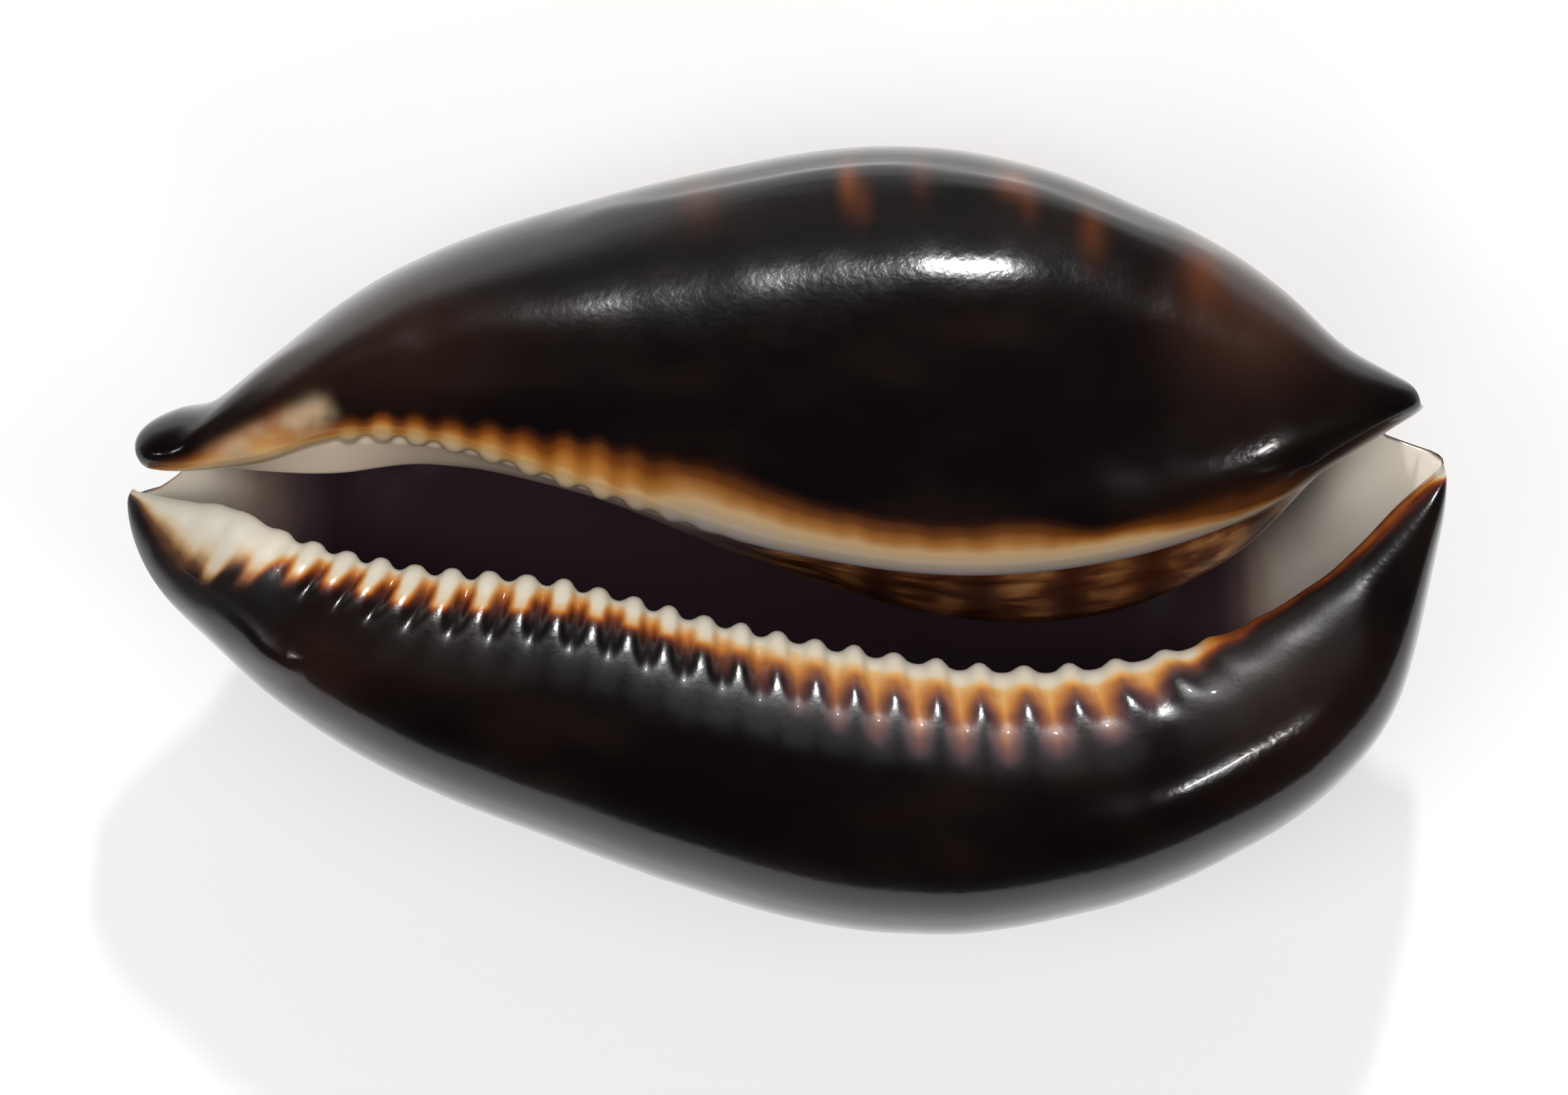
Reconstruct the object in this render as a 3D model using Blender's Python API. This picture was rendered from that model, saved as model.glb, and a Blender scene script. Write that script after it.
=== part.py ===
"""A cowrie shell, lying on its back with its mouth up, as one closed solid.

The shell is a single sheet of shell wall. In cross-section it starts at the rolled outer lip,
goes round the outer side, over the back and round the inner side, rolls in at the inner lip
and carries on as the previous whorl, which winds up inside. The solid is that sheet:
an outer skin made from the sections below, and an inner skin that is offset from it by the
wall's thickness. Both skins meet in a rounded rim all round the sheet.

In the shell's own frame x runs from the front canal (-) to the back canal (+), y from the
outer lip's side (-) to the inner lip's side (+), and z from the back of the shell (-) to its
base (+), where the mouth is. All sizes here are in millimetres; the mesh is made in metres.
"""

import math

import bmesh
import bpy
import numpy as np

# ---------------------------------------------------------------- driving dimensions (mm)
LENGTH = 82.0
HALF = LENGTH / 2
MM = 0.001

# Where every fourth of the outer lip's 25 teeth stands: (its number from the front, x).
TOOTH_AT = ((0, -31.25), (4, -23.0), (8, -13.8), (12, -5.05), (16, 4.2), (20, 14.7), (24, 26.3))
LAST_TOOTH = TOOTH_AT[-1][0]
TOOTH_SEARCH = 4001       # places along the lip at which a tooth's x is looked for
TOOTH_HEIGHT = 0.6        # from the bottom of a gap to the top of a tooth
TOOTH_LENGTH = 4.5        # how far a tooth runs outwards over the lip

REST_FLAT = 0.6           # depth of the worn flat spot that the shell lies on

# Outlines along the length: (x, y) of each line that runs from the front to the back.
INNER_SIDE_Y = ((-41, 6.8), (-40.2, 8.1), (-38.7, 8.8), (-36.3, 9.3), (-32.6, 11.8),
                (-23.5, 17.8), (-15, 20.9), (-6.5, 23.1), (6, 25.0), (14.8, 23.9), (23.3, 20.6),
                (31.8, 16.0), (36.4, 12.9), (39.5, 11.3), (41, 10.3))
OUTER_SIDE_Y = ((-41, 2.4), (-39.6, -1.9), (-36.3, -5.6), (-32, -9.5), (-23.5, -14.6), (-15, -18.1),
                (-6.5, -21.2), (2, -23.6), (10, -24.2), (19, -22.8), (27.6, -19.4), (34, -15.1),
                (38.2, -9.3), (40.3, -1.2), (41, 3.4))
OUTER_LIP_Y = ((-41, 3.6), (-38, 2.9), (-34, 2.2), (-31.2, 0.8), (-23, -1.35), (-13.8, -2.3),
               (-5.1, -4.5), (4.2, -6.4), (14.7, -7.6), (20.8, -7.1), (26.3, -5.7), (33.4, -1.9),
               (38.3, 2.7), (41, 5.2))
INNER_LIP_Y = ((-41, 5.0), (-36, 4.9), (-33, 5.3), (-28, 6.6), (-24.9, 6.7), (-20.4, 6.0),
               (-13.7, 3.9), (0, -0.4), (10.6, -1.8), (20.3, -0.9), (28.5, 1.7), (35.0, 5.2),
               (38.9, 7.3), (41, 8.8))
# Heights along the length: (x, z).
BASE_Z = ((-41, 10.5), (-38, 12.4), (-30, 14.0), (-10, 15.5), (12, 15.5), (30, 14.2), (38, 12.6),
          (41, 11.0))
BACK_Z = ((-41, 5.0), (-38.5, 1.5), (-33, -7.0), (-22, -17.8), (-5, -24.9), (10, -24.9),
          (24, -20.6), (34, -10.5), (39, -0.5), (41, 4.5))
WIDEST_Z = ((-41, 8.0), (-36, 6.5), (-20, 4.5), (0, 3.0), (20, 3.5), (36, 6.0), (41, 8.0))
LIP_DROP = ((-41, 1.2), (-34, 2.0), (-20, 3.0), (10, 3.4), (28, 3.0), (41, 1.2))
# The previous whorl: how far it bulges into the mouth past the inner lip, how big it is there,
# and how far round it the sheet goes on, in half turns.
WHORL_BULGE = ((-41, 0.0), (-33, 0.6), (-28, 2.0), (-22, 1.2), (-12, 0.3), (0, 1.2), (10, 2.6),
               (20, 3.2), (27, 2.2), (33, 0.2), (41, 0.0))
WHORL_SIZE = ((-41, 0.03), (-36, 0.08), (-28, 0.4), (-12, 0.9), (5, 1.0), (18, 0.9), (28, 0.5),
              (35, 0.12), (41, 0.03))
WHORL_TURN = ((-41, 0.4), (-34, 0.4), (-24, 0.8), (-12, 1.25), (5, 1.3), (18, 1.25), (28, 0.8),
              (35, 0.4), (41, 0.4))
WHORL_DEPTH, WHORL_WIDTH = 27.0, 19.0
WHORL_CLEARANCE = 6.5     # from its far side to the outside of the shell's inner side
WHORL_LEAST_SHARE = 0.2   # near the ends it still takes this share of the way to the inner side

# What shapes each cross-section between those lines.
LIP_CREST = 0.42          # where a lip stands highest, from its edge (0) to the shell's side (1)
LIP_ROUND, BACK_ROUND, MOUTH_ROUND = 2.2, 2.5, 2.6    # how full each quarter is: 2 is an ellipse
OUTER_SHOULDER_ROUND = ((-41, 2.2), (-30, 2.3), (-10, 2.6), (15, 2.8), (30, 2.8), (41, 2.3))
INNER_SHOULDER_ROUND = ((-41, 2.2), (-20, 2.3), (0, 2.5), (10, 2.7), (23, 3.2), (32, 2.9), (41, 2.4))
RIDGE_SHIFT = -0.8        # the back's lowest line stands this far from the middle of the two sides
INNER_EDGE_DROP = 1.25    # the inner lip's edge hangs this many times as low as the outer lip's
BULGE_DROP, BULGE_DROP_BY_SIZE = 0.3, 9.7    # how far below that edge the whorl bulges most
UNDERCUT_FROM, UNDERCUT_OVER = -26.0, 11.0    # from here on the inner lip hangs over the whorl
WHORL_TOP_RISE = 0.3      # how far it rises again at its top, as a share of its depth

# Wall thickness at stages of the sheet, and how far the rim of each canal is set back there.
THICKNESS = ((0.0, 4.6), (0.14, 4.2), (0.25, 3.6), (0.42, 2.4), (0.58, 2.6), (0.68, 3.8),
             (0.76, 4.0), (0.83, 2.8), (0.93, 1.9), (1.0, 1.6))
WALL_PER_LIP = 0.24       # the wall is never thicker than this much of the lip's width there
SIDES_MEET, SIDES_BLEND = 0.34, 0.16    # the stage where the outer lip's share ends, and over how much
RIM_REACH = 3.0           # how far in from a canal's rim the wall is rounded
OUTER_LIP_REACH, INNER_EDGE_REACH = 6.0, 3.5
NOTCH_FRONT = ((0.0, 0.4), (0.08, 0.1), (0.25, 0.1), (0.38, 0.4), (0.47, 3.6), (0.56, 2.0),
               (0.64, 0.6), (0.70, 0.5), (0.82, 1.2), (1.0, 2.0))
NOTCH_BACK = ((0.0, 0.3), (0.08, 0.05), (0.25, 0.0), (0.40, 0.1), (0.42, 0.8), (0.435, 2.6),
              (0.448, 4.0), (0.462, 4.5), (0.52, 4.8), (0.62, 2.6), (0.80, 1.5), (1.0, 1.5))
NOTCH_REACH = 14.0        # how far from each end a notch pulls the sheet along
BLUR_PER_WALL, THINNEST_BLURRED = 0.7, 0.1    # how widely the inner skin's directions are averaged

# The solid's facets: points along each of the ten pieces of a section, and stations past the teeth.
FACETS = (4, 4, 5, 5, 4, 4, 2, 3, 3, 2)
FRONT_STATIONS, BACK_STATIONS = 9, 11
FINER = 4                 # the skins are worked out on a grid this much finer than the facets


# ---------------------------------------------------------------- curves
def station_angle(x):
    """Where x lies on a half turn from the front tip to the back, which keeps blunt ends round."""
    return np.arccos(np.clip(-np.asarray(x, float) / HALF, -1, 1))


def smooth_through(knots, values, at):
    """A smooth curve through the given values, with slopes taken from the neighbouring points."""
    knots, values = np.asarray(knots, float), np.asarray(values, float)
    step = np.diff(knots)
    rise = np.diff(values) / step
    slope = np.empty_like(values)
    slope[1:-1] = (rise[:-1] * step[1:] + rise[1:] * step[:-1]) / (step[:-1] + step[1:])
    slope[0], slope[-1] = 1.5 * rise[0] - 0.5 * slope[1], 1.5 * rise[-1] - 0.5 * slope[-2]
    i = np.clip(np.searchsorted(knots, at, side="right") - 1, 0, len(step) - 1)
    t = np.clip((at - knots[i]) / step[i], 0, 1)
    return (values[i] * (2 * t**3 - 3 * t**2 + 1) + values[i + 1] * (3 * t**2 - 2 * t**3)
            + step[i] * (slope[i] * (t**3 - 2 * t**2 + t) + slope[i + 1] * (t**3 - t**2)))


def along(keys, x):
    """One of the lengthwise lines above, read at x."""
    knots, values = zip(*keys)
    return smooth_through(station_angle(knots), values, station_angle(x))


def round_rim(distance, radius):
    """Grows from 0 at a free edge to 1 a rim radius away from it, as a quarter circle does."""
    near = 1 - np.clip(distance / radius, 0, 1)
    return np.sqrt(1 - near**2)


def wedge(distance, reach):
    """Grows from 0 at a free edge to 1 at its reach, in an even curve that leaves a wedge."""
    return 1 - (1 - np.clip(distance / reach, 0, 1)) ** 2


def ease(t):
    """Grows from 0 to 1 as t does, and is level at both ends."""
    t = np.clip(t, 0, 1)
    return t * t * (3 - 2 * t)


# ---------------------------------------------------------------- cross-sections
def quarter(side, crown, power, steps, from_side):
    """A quarter of a rounded oval, between a side point (upright there) and a crown point (level there).

    Each point is a pair (y, z) of values per station. The last point is left out, because the
    next piece starts with it."""
    turn = np.linspace(0, math.pi / 2, steps, endpoint=False)[:, None]
    if not from_side:
        turn = math.pi / 2 - turn
    c, s = np.cos(turn), np.sin(turn)
    reach = (np.abs(c) ** power + np.abs(s) ** power) ** (-1 / power)
    y = crown[0] + (side[0] - crown[0]) * c * reach
    z = side[1] + (crown[1] - side[1]) * s * reach
    return y, z


def section_path(x, steps):
    """The outer skin's (y, z) at each station x, from the outer lip to the whorl's free edge."""
    base, back, widest = along(BASE_Z, x), along(BACK_Z, x), along(WIDEST_Z, x)
    drop, size = along(LIP_DROP, x), np.clip(along(WHORL_SIZE, x), 0, None)
    lip_o, lip_i = along(OUTER_LIP_Y, x), along(INNER_LIP_Y, x)
    side_o, side_i = along(OUTER_SIDE_Y, x), along(INNER_SIDE_Y, x)
    edge_o = (lip_o, base - drop)
    crest_o = (lip_o + LIP_CREST * (side_o - lip_o), base)
    belly_o = (side_o, widest)
    ridge = (0.5 * (side_o + side_i) + RIDGE_SHIFT, back)
    belly_i = (side_i, widest)
    crest_i = (lip_i + LIP_CREST * (side_i - lip_i), base)
    edge_i = (lip_i, base - INNER_EDGE_DROP * drop)
    bulge = (lip_i - along(WHORL_BULGE, x), edge_i[1] - BULGE_DROP - BULGE_DROP_BY_SIZE * size)
    pieces = [
        quarter(edge_o, crest_o, LIP_ROUND, steps[0], True),
        quarter(belly_o, crest_o, along(OUTER_SHOULDER_ROUND, x), steps[1], False),
        quarter(belly_o, ridge, BACK_ROUND, steps[2], True),
        quarter(belly_i, ridge, BACK_ROUND, steps[3], False),
        quarter(belly_i, crest_i, along(INNER_SHOULDER_ROUND, x), steps[4], True),
        quarter(edge_i, crest_i, MOUTH_ROUND, steps[5], False),
    ]
    t = np.linspace(0, 1, steps[6], endpoint=False)[:, None]
    undercut = ease((x - UNDERCUT_FROM) / UNDERCUT_OVER)
    pieces.append((edge_i[0] + (bulge[0] - edge_i[0]) * (t + (ease(t) - t) * undercut),
                   edge_i[1] + (bulge[1] - edge_i[1]) * t))
    pieces.append(whorl_path(x, size, bulge, side_i, sum(steps[7:])))
    return np.concatenate([p[0] for p in pieces]), np.concatenate([p[1] for p in pieces])


def whorl_path(x, size, bulge, side_i, steps):
    """The previous whorl's (y, z), hung from its bulge: down, under, up its far side, in at its top."""
    room = np.maximum(side_i - WHORL_CLEARANCE - bulge[0], WHORL_LEAST_SHARE * (side_i - bulge[0]))
    width = np.minimum(WHORL_WIDTH * size, room)
    depth = np.minimum(WHORL_DEPTH * size, 2 * width)
    turn = np.linspace(0, 1, steps)[:, None] * math.pi * along(WHORL_TURN, x)
    fall = np.where(turn < math.pi, 0.5 * depth, WHORL_TOP_RISE * depth)
    return bulge[0] + 0.5 * width * (1 - np.cos(turn)), bulge[1] - fall * np.sin(turn)


def stage_of(steps):
    """How far round the sheet each point of a section is: 0 at the outer lip, 1 at its inner end."""
    ends = np.array((0, 0.09, 0.25, 0.42, 0.58, 0.72, 0.82, 0.88, 0.93, 0.97, 1.0))
    parts = [np.linspace(a, b, n, endpoint=False) for a, b, n in zip(ends[:-1], ends[1:], steps)]
    return np.concatenate(parts)


def tooth_phase(x):
    """Counts the outer lip's teeth along x: a whole number on each tooth, a half between two."""
    counts, places = (np.array(column, float) for column in zip(*TOOTH_AT))
    before = counts[0] + (x - places[0]) * (counts[1] - counts[0]) / (places[1] - places[0])
    after = counts[-1] + (x - places[-1]) * (counts[-1] - counts[-2]) / (places[-1] - places[-2])
    between = smooth_through(places, counts, x)
    return np.where(x < places[0], before, np.where(x > places[-1], after, between))


def tooth_x(count):
    """Where along x the given tooth stands; a half between two of them is a gap."""
    fine = np.linspace(TOOTH_AT[0][1], TOOTH_AT[-1][1], TOOTH_SEARCH)
    return np.interp(count, tooth_phase(fine), fine)


def grid_normals(skin):
    """Unit normals of a grid of points, pointing away from the shell wall."""
    across, lengthwise = np.gradient(skin, axis=0), np.gradient(skin, axis=1)
    normal = np.cross(across, lengthwise)
    return normal / np.maximum(np.linalg.norm(normal, axis=2, keepdims=True), 1e-9)


def blurred(field, arc, reach):
    """The field averaged along each section, over about the given reach.

    A thick wall that is offset along such normals can turn a tight corner without crossing itself."""
    weight = np.exp(-0.5 * ((arc[:, None] - arc[None]) / reach[:, None]) ** 2)
    weight *= np.gradient(arc, axis=0)[None]
    weight /= weight.sum(axis=1, keepdims=True)
    return np.einsum("stv,tvc->svc", weight, field)


def wall_thickness(x, stage, arc, run):
    """The wall at each point: what its stage asks for, thinned for narrow lips and every free edge."""
    width_o = along(OUTER_LIP_Y, x) - along(OUTER_SIDE_Y, x)
    width_i = along(INNER_SIDE_Y, x) - along(INNER_LIP_Y, x)
    inner_share = ease((stage[:, None] - SIDES_MEET) / SIDES_BLEND)
    most = WALL_PER_LIP * (width_o * (1 - inner_share) + width_i * inner_share)
    wall = np.minimum(smooth_through(*zip(*THICKNESS), stage)[:, None], most)
    wall = wall * wedge(arc, OUTER_LIP_REACH) * wedge(arc[-1] - arc, INNER_EDGE_REACH)
    return wall * round_rim(run, RIM_REACH) * round_rim(run[:, -1:] - run, RIM_REACH)


def skins(x, steps):
    """The outer and inner skin of the sheet at stations x, as two grids of points."""
    y, z = section_path(x, steps)
    stage = stage_of(steps)
    front, back = (x + HALF) / NOTCH_REACH, (HALF - x) / NOTCH_REACH
    set_back_front, set_back_back = (np.clip(smooth_through(*zip(*notch), stage), 0, None)[:, None]
                                     for notch in (NOTCH_FRONT, NOTCH_BACK))
    pull = set_back_front * (1 - ease(front)) - set_back_back * (1 - ease(back))
    outer = np.stack([x + pull, y, z], axis=2)
    arc = np.cumsum(np.linalg.norm(np.diff(outer, axis=0, prepend=outer[:1]), axis=2), axis=0)
    run = np.cumsum(np.linalg.norm(np.diff(outer, axis=1, prepend=outer[:, :1]), axis=2), axis=1)
    wall = wall_thickness(x, stage, arc, run)
    normal = grid_normals(outer)
    reach = BLUR_PER_WALL * np.maximum(wall, THINNEST_BLURRED)
    inner = outer - blurred(normal, arc, reach) * wall[:, :, None]
    count = tooth_phase(x)
    wave = np.cos(2 * math.pi * count) * ease(count + 1) * ease(LAST_TOOTH + 1 - count)
    ridge = 0.5 * TOOTH_HEIGHT * wave * (1 - ease(arc / TOOTH_LENGTH))
    return outer + normal * ridge[:, :, None], inner


# ---------------------------------------------------------------- the solid
def stations():
    """Where the facets' edges cross the length: closer near both ends, one on every tooth and gap."""
    teeth = tooth_x(np.arange(2 * LAST_TOOTH + 1) / 2)
    start, end = station_angle(teeth[0]), station_angle(teeth[-1])
    front = -HALF * np.cos(np.linspace(0, start, FRONT_STATIONS, endpoint=False))
    back = -HALF * np.cos(np.linspace(math.pi, end, BACK_STATIONS, endpoint=False))[::-1]
    return np.concatenate([front, teeth, back])


def finer(x):
    """The same stations with more set between them, so that every one of the given ones is kept."""
    count = np.arange(len(x))
    angle = np.interp(np.arange(0, len(x) - 1 + 0.5 / FINER, 1 / FINER), count, station_angle(x))
    return -HALF * np.cos(angle)


def sheet_faces(rows, columns):
    """Triangles of a solid sheet. Its inner grid follows its outer one, and their edges are one edge."""
    outer = np.arange(rows * columns).reshape(rows, columns)
    inner = outer.copy()
    inner[1:-1, 1:-1] += rows * columns
    faces = []
    for grid, facing_out in ((outer, True), (inner, False)):
        for r in range(rows - 1):
            for c in range(columns - 1):
                a, b, d, e = grid[r, c], grid[r, c + 1], grid[r + 1, c + 1], grid[r + 1, c]
                # Each corner of the grid is split through the corner, so no triangle is made twice.
                if (r < rows / 2) == (c < columns / 2):
                    pair = ((a, b, d), (a, d, e))
                else:
                    pair = ((a, b, e), (b, d, e))
                faces += [t[::-1] if facing_out else t for t in pair]
    return faces


def shell_mesh(name):
    """The whole shell as one closed mesh in metres, lying on its flat spot at z = 0."""
    outer, inner = skins(finer(stations()), tuple(FINER * n for n in FACETS))
    outer, inner = outer[::FINER, ::FINER], inner[::FINER, ::FINER]
    points = np.concatenate([outer.reshape(-1, 3), inner.reshape(-1, 3)])
    low, high = points.min(axis=0), points.max(axis=0)
    points -= ((low[0] + high[0]) / 2, (low[1] + high[1]) / 2, low[2] + REST_FLAT)
    mesh = bmesh.new()
    verts = [mesh.verts.new(p) for p in (points * MM).tolist()]
    for face in sheet_faces(*outer.shape[:2]):
        mesh.faces.new([verts[i] for i in face])
    loose = [v for v in mesh.verts if not v.link_faces]
    bmesh.ops.delete(mesh, geom=loose, context="VERTS")
    everything = mesh.verts[:] + mesh.edges[:] + mesh.faces[:]
    cut = bmesh.ops.bisect_plane(mesh, geom=everything, dist=1e-7, plane_co=(0, 0, 0),
                                 plane_no=(0, 0, -1), clear_outer=True)
    rim = [e for e in cut["geom_cut"] if isinstance(e, bmesh.types.BMEdge)]
    bmesh.ops.contextual_create(mesh, geom=rim)
    bmesh.ops.recalc_face_normals(mesh, faces=mesh.faces)
    bmesh.ops.triangulate(mesh, faces=mesh.faces)
    data = bpy.data.meshes.new(name)
    mesh.to_mesh(data)
    mesh.free()
    data.shade_smooth()
    return data


def shell_material():
    """Dark brown glazed shell."""
    material = bpy.data.materials.new("glazed_shell")
    material.use_nodes = True
    finish = material.node_tree.nodes["Principled BSDF"]
    finish.inputs["Base Color"].default_value = (0.035, 0.012, 0.008, 1)
    finish.inputs["Roughness"].default_value = 0.12
    finish.inputs["Metallic"].default_value = 0.0
    return material


def main():
    for thing in list(bpy.data.objects):
        bpy.data.objects.remove(thing)
    shell = bpy.data.objects.new("cowrie_shell", shell_mesh("cowrie_shell"))
    shell.data.materials.append(shell_material())
    bpy.context.scene.collection.objects.link(shell)


main()
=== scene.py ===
# %% [markdown]
# # A cowrie shell on its back
#
# This lesson builds one dark, glossy cowrie shell, about 82 mm long, lying on its back with its
# toothed mouth up. A cowrie grows as one piece: a single sheet of shell wall that starts at the
# rolled outer lip, goes round the back, rolls in at the inner lip and winds on inside as the
# previous whorl. So the whole object is one mesh and one finish, and all the work goes into how
# that sheet bends and how its colours follow it.
#
# The first cell loads the solid model that the shell has to fit. It is in metres, lies on the floor
# at z = 0, and gives the box that the visible shell stays inside.

# %% Load the frame
import math

import bpy
import numpy as np
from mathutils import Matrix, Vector


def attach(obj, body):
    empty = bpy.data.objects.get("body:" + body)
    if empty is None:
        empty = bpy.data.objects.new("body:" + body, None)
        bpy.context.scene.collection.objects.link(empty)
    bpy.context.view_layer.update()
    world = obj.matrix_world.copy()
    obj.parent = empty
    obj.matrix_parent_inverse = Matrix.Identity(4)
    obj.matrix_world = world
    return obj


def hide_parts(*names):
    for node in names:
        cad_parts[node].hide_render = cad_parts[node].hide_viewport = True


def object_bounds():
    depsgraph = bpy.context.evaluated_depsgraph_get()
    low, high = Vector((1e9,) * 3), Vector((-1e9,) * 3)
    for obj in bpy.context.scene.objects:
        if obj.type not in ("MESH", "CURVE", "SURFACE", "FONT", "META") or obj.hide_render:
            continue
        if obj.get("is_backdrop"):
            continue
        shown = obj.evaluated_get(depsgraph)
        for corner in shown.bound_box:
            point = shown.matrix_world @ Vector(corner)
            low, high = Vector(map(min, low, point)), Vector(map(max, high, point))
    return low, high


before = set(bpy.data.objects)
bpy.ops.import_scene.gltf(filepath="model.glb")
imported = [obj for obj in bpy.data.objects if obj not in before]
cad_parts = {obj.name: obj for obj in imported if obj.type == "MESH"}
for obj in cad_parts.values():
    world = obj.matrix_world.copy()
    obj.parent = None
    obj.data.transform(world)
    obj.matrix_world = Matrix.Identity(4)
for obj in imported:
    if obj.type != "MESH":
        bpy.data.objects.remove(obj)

CAD_BOX = [list(corner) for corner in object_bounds()]
MM = 0.001
print("the shell's box in mm:", [[round(v / MM, 2) for v in corner] for corner in CAD_BOX])

# %% [markdown]
# ## Curves through a few points
#
# A real shell has no straight lines, but its outlines are calm: a few points say where each one
# runs. One could draw them by hand as Bezier curves. Here each line is a short table of (x, value)
# pairs, read with a smooth curve through them, because then any line can be read at any place
# along the shell, and one number moves one part of the outline.
#
# Both ends of a shell are blunt. Read against x, a blunt end would need an endlessly steep curve.
# Read against the angle on a half circle, it is an ordinary smooth one.

# %% Curve helpers
LENGTH = 82.0
HALF = LENGTH / 2


def station_angle(x):
    """Where x lies on a half turn from the front tip to the back, which keeps blunt ends round."""
    return np.arccos(np.clip(-np.asarray(x, float) / HALF, -1, 1))


def smooth_through(knots, values, at):
    """A smooth curve through the given values, with slopes taken from the neighbouring points."""
    knots, values = np.asarray(knots, float), np.asarray(values, float)
    step = np.diff(knots)
    rise = np.diff(values) / step
    slope = np.empty_like(values)
    slope[1:-1] = (rise[:-1] * step[1:] + rise[1:] * step[:-1]) / (step[:-1] + step[1:])
    slope[0], slope[-1] = 1.5 * rise[0] - 0.5 * slope[1], 1.5 * rise[-1] - 0.5 * slope[-2]
    i = np.clip(np.searchsorted(knots, at, side="right") - 1, 0, len(step) - 1)
    t = np.clip((at - knots[i]) / step[i], 0, 1)
    return (values[i] * (2 * t**3 - 3 * t**2 + 1) + values[i + 1] * (3 * t**2 - 2 * t**3)
            + step[i] * (slope[i] * (t**3 - 2 * t**2 + t) + slope[i + 1] * (t**3 - t**2)))


def along(keys, x):
    """A lengthwise line, read at x."""
    knots, values = zip(*keys)
    return smooth_through(station_angle(knots), values, station_angle(x))


def ease(t):
    """Grows from 0 to 1 as t does, and is level at both ends."""
    t = np.clip(t, 0, 1)
    return t * t * (3 - 2 * t)


def rising(at, start, over):
    """0 up to the start, then growing to 1 over the given stretch."""
    return ease((at - start) / over)


def steady(keys, x):
    """A lengthwise line that is level at each of its points, so it never swings past them."""
    knots, values = (np.array(column, float) for column in zip(*keys))
    i = np.clip(np.searchsorted(knots, x, side="right") - 1, 0, len(knots) - 2)
    share = ease((x - knots[i]) / (knots[i + 1] - knots[i]))
    return values[i] + (values[i + 1] - values[i]) * share


def hump(t):
    """1 at t = 0, falling away evenly on both sides."""
    return np.exp(-t * t)


print("half way along, a line through 0, 1, 0 reads", smooth_through((0, 1, 2), (0, 1, 0), 1.0))

# %% [markdown]
# ## The lengthwise lines
#
# These tables draw the shell's outside, in millimetres: x runs from the front canal to the back
# canal, y from the outer lip's side to the inner lip's side, and z up from the back to the base.
# The two sides and the two lips are seen from above; the heights are seen from the side. Using
# named lines, not free-hand vertices, means that the solid model and this one agree.

# %% Outlines and heights
INNER_SIDE_Y = ((-41, 6.8), (-40.2, 8.1), (-38.7, 8.8), (-36.3, 9.3), (-32.6, 11.8),
                (-23.5, 17.8), (-15, 20.9), (-6.5, 23.1), (6, 25.0), (14.8, 23.9), (23.3, 20.6),
                (31.8, 16.0), (36.4, 12.9), (39.5, 11.3), (41, 10.3))
OUTER_SIDE_Y = ((-41, 2.4), (-39.6, -1.9), (-36.3, -5.6), (-32, -9.5), (-23.5, -14.6), (-15, -18.1),
                (-6.5, -21.2), (2, -23.6), (10, -24.2), (19, -22.8), (27.6, -19.4), (34, -15.1),
                (38.2, -9.3), (40.3, -1.2), (41, 3.4))
OUTER_LIP_Y = ((-41, 3.6), (-38, 2.9), (-34, 2.2), (-31.2, 0.8), (-23, -1.35), (-13.8, -2.3),
               (-5.1, -4.5), (4.2, -6.4), (14.7, -7.6), (20.8, -7.1), (26.3, -5.7), (33.4, -1.9),
               (38.3, 2.7), (41, 5.2))
INNER_LIP_Y = ((-41, 5.0), (-36, 4.9), (-33, 5.3), (-28, 6.6), (-24.9, 6.7), (-20.4, 6.0),
               (-13.7, 3.9), (0, -0.4), (10.6, -1.8), (20.3, -0.9), (28.5, 1.7), (35.0, 5.2),
               (38.9, 7.3), (41, 8.8))
BASE_Z = ((-41, 10.5), (-38, 12.4), (-30, 14.0), (-10, 15.5), (12, 15.5), (30, 14.2), (38, 12.6),
          (41, 11.0))
BACK_Z = ((-41, 5.0), (-38.5, 1.5), (-33, -7.0), (-22, -17.8), (-5, -24.9), (10, -24.9),
          (24, -20.6), (34, -10.5), (39, -0.5), (41, 4.5))
WIDEST_Z = ((-41, 8.0), (-36, 6.5), (-20, 4.5), (0, 3.0), (20, 3.5), (36, 6.0), (41, 8.0))
LIP_DROP = ((-41, 1.2), (-34, 2.0), (-20, 3.0), (10, 3.4), (28, 3.0), (41, 1.2))
for name, line in (("outer side", OUTER_SIDE_Y), ("outer lip", OUTER_LIP_Y),
                   ("inner lip", INNER_LIP_Y), ("inner side", INNER_SIDE_Y)):
    print(f"{name} at mid length: y = {float(along(line, 0.0)):.1f} mm")

# %% [markdown]
# Inside the mouth one sees the previous whorl, the shell's own earlier turn. It bulges a little
# past the inner lip and then winds away into the dark. Its size swells from nothing at the front
# canal to its full round near the middle.

# %% The previous whorl
WHORL_BULGE = ((-41, 0.0), (-33, 0.6), (-28, 2.0), (-22, 1.2), (-12, 0.3), (0, 1.2), (10, 2.6),
               (20, 3.2), (27, 2.2), (33, 0.2), (41, 0.0))
WHORL_SIZE = ((-41, 0.03), (-36, 0.08), (-28, 0.4), (-12, 0.9), (5, 1.0), (18, 0.9), (28, 0.5),
              (35, 0.12), (41, 0.03))
WHORL_TURN = ((-41, 0.4), (-34, 0.4), (-24, 0.8), (-12, 1.25), (5, 1.3), (18, 1.25), (28, 0.8),
              (35, 0.4), (41, 0.4))
WHORL_DEPTH, WHORL_WIDTH = 27.0, 19.0
WHORL_CLEARANCE = 6.5     # from its far side to the outside of the shell's inner side
WHORL_LEAST_SHARE = 0.2   # near the ends it still takes this share of the way to the inner side
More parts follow.
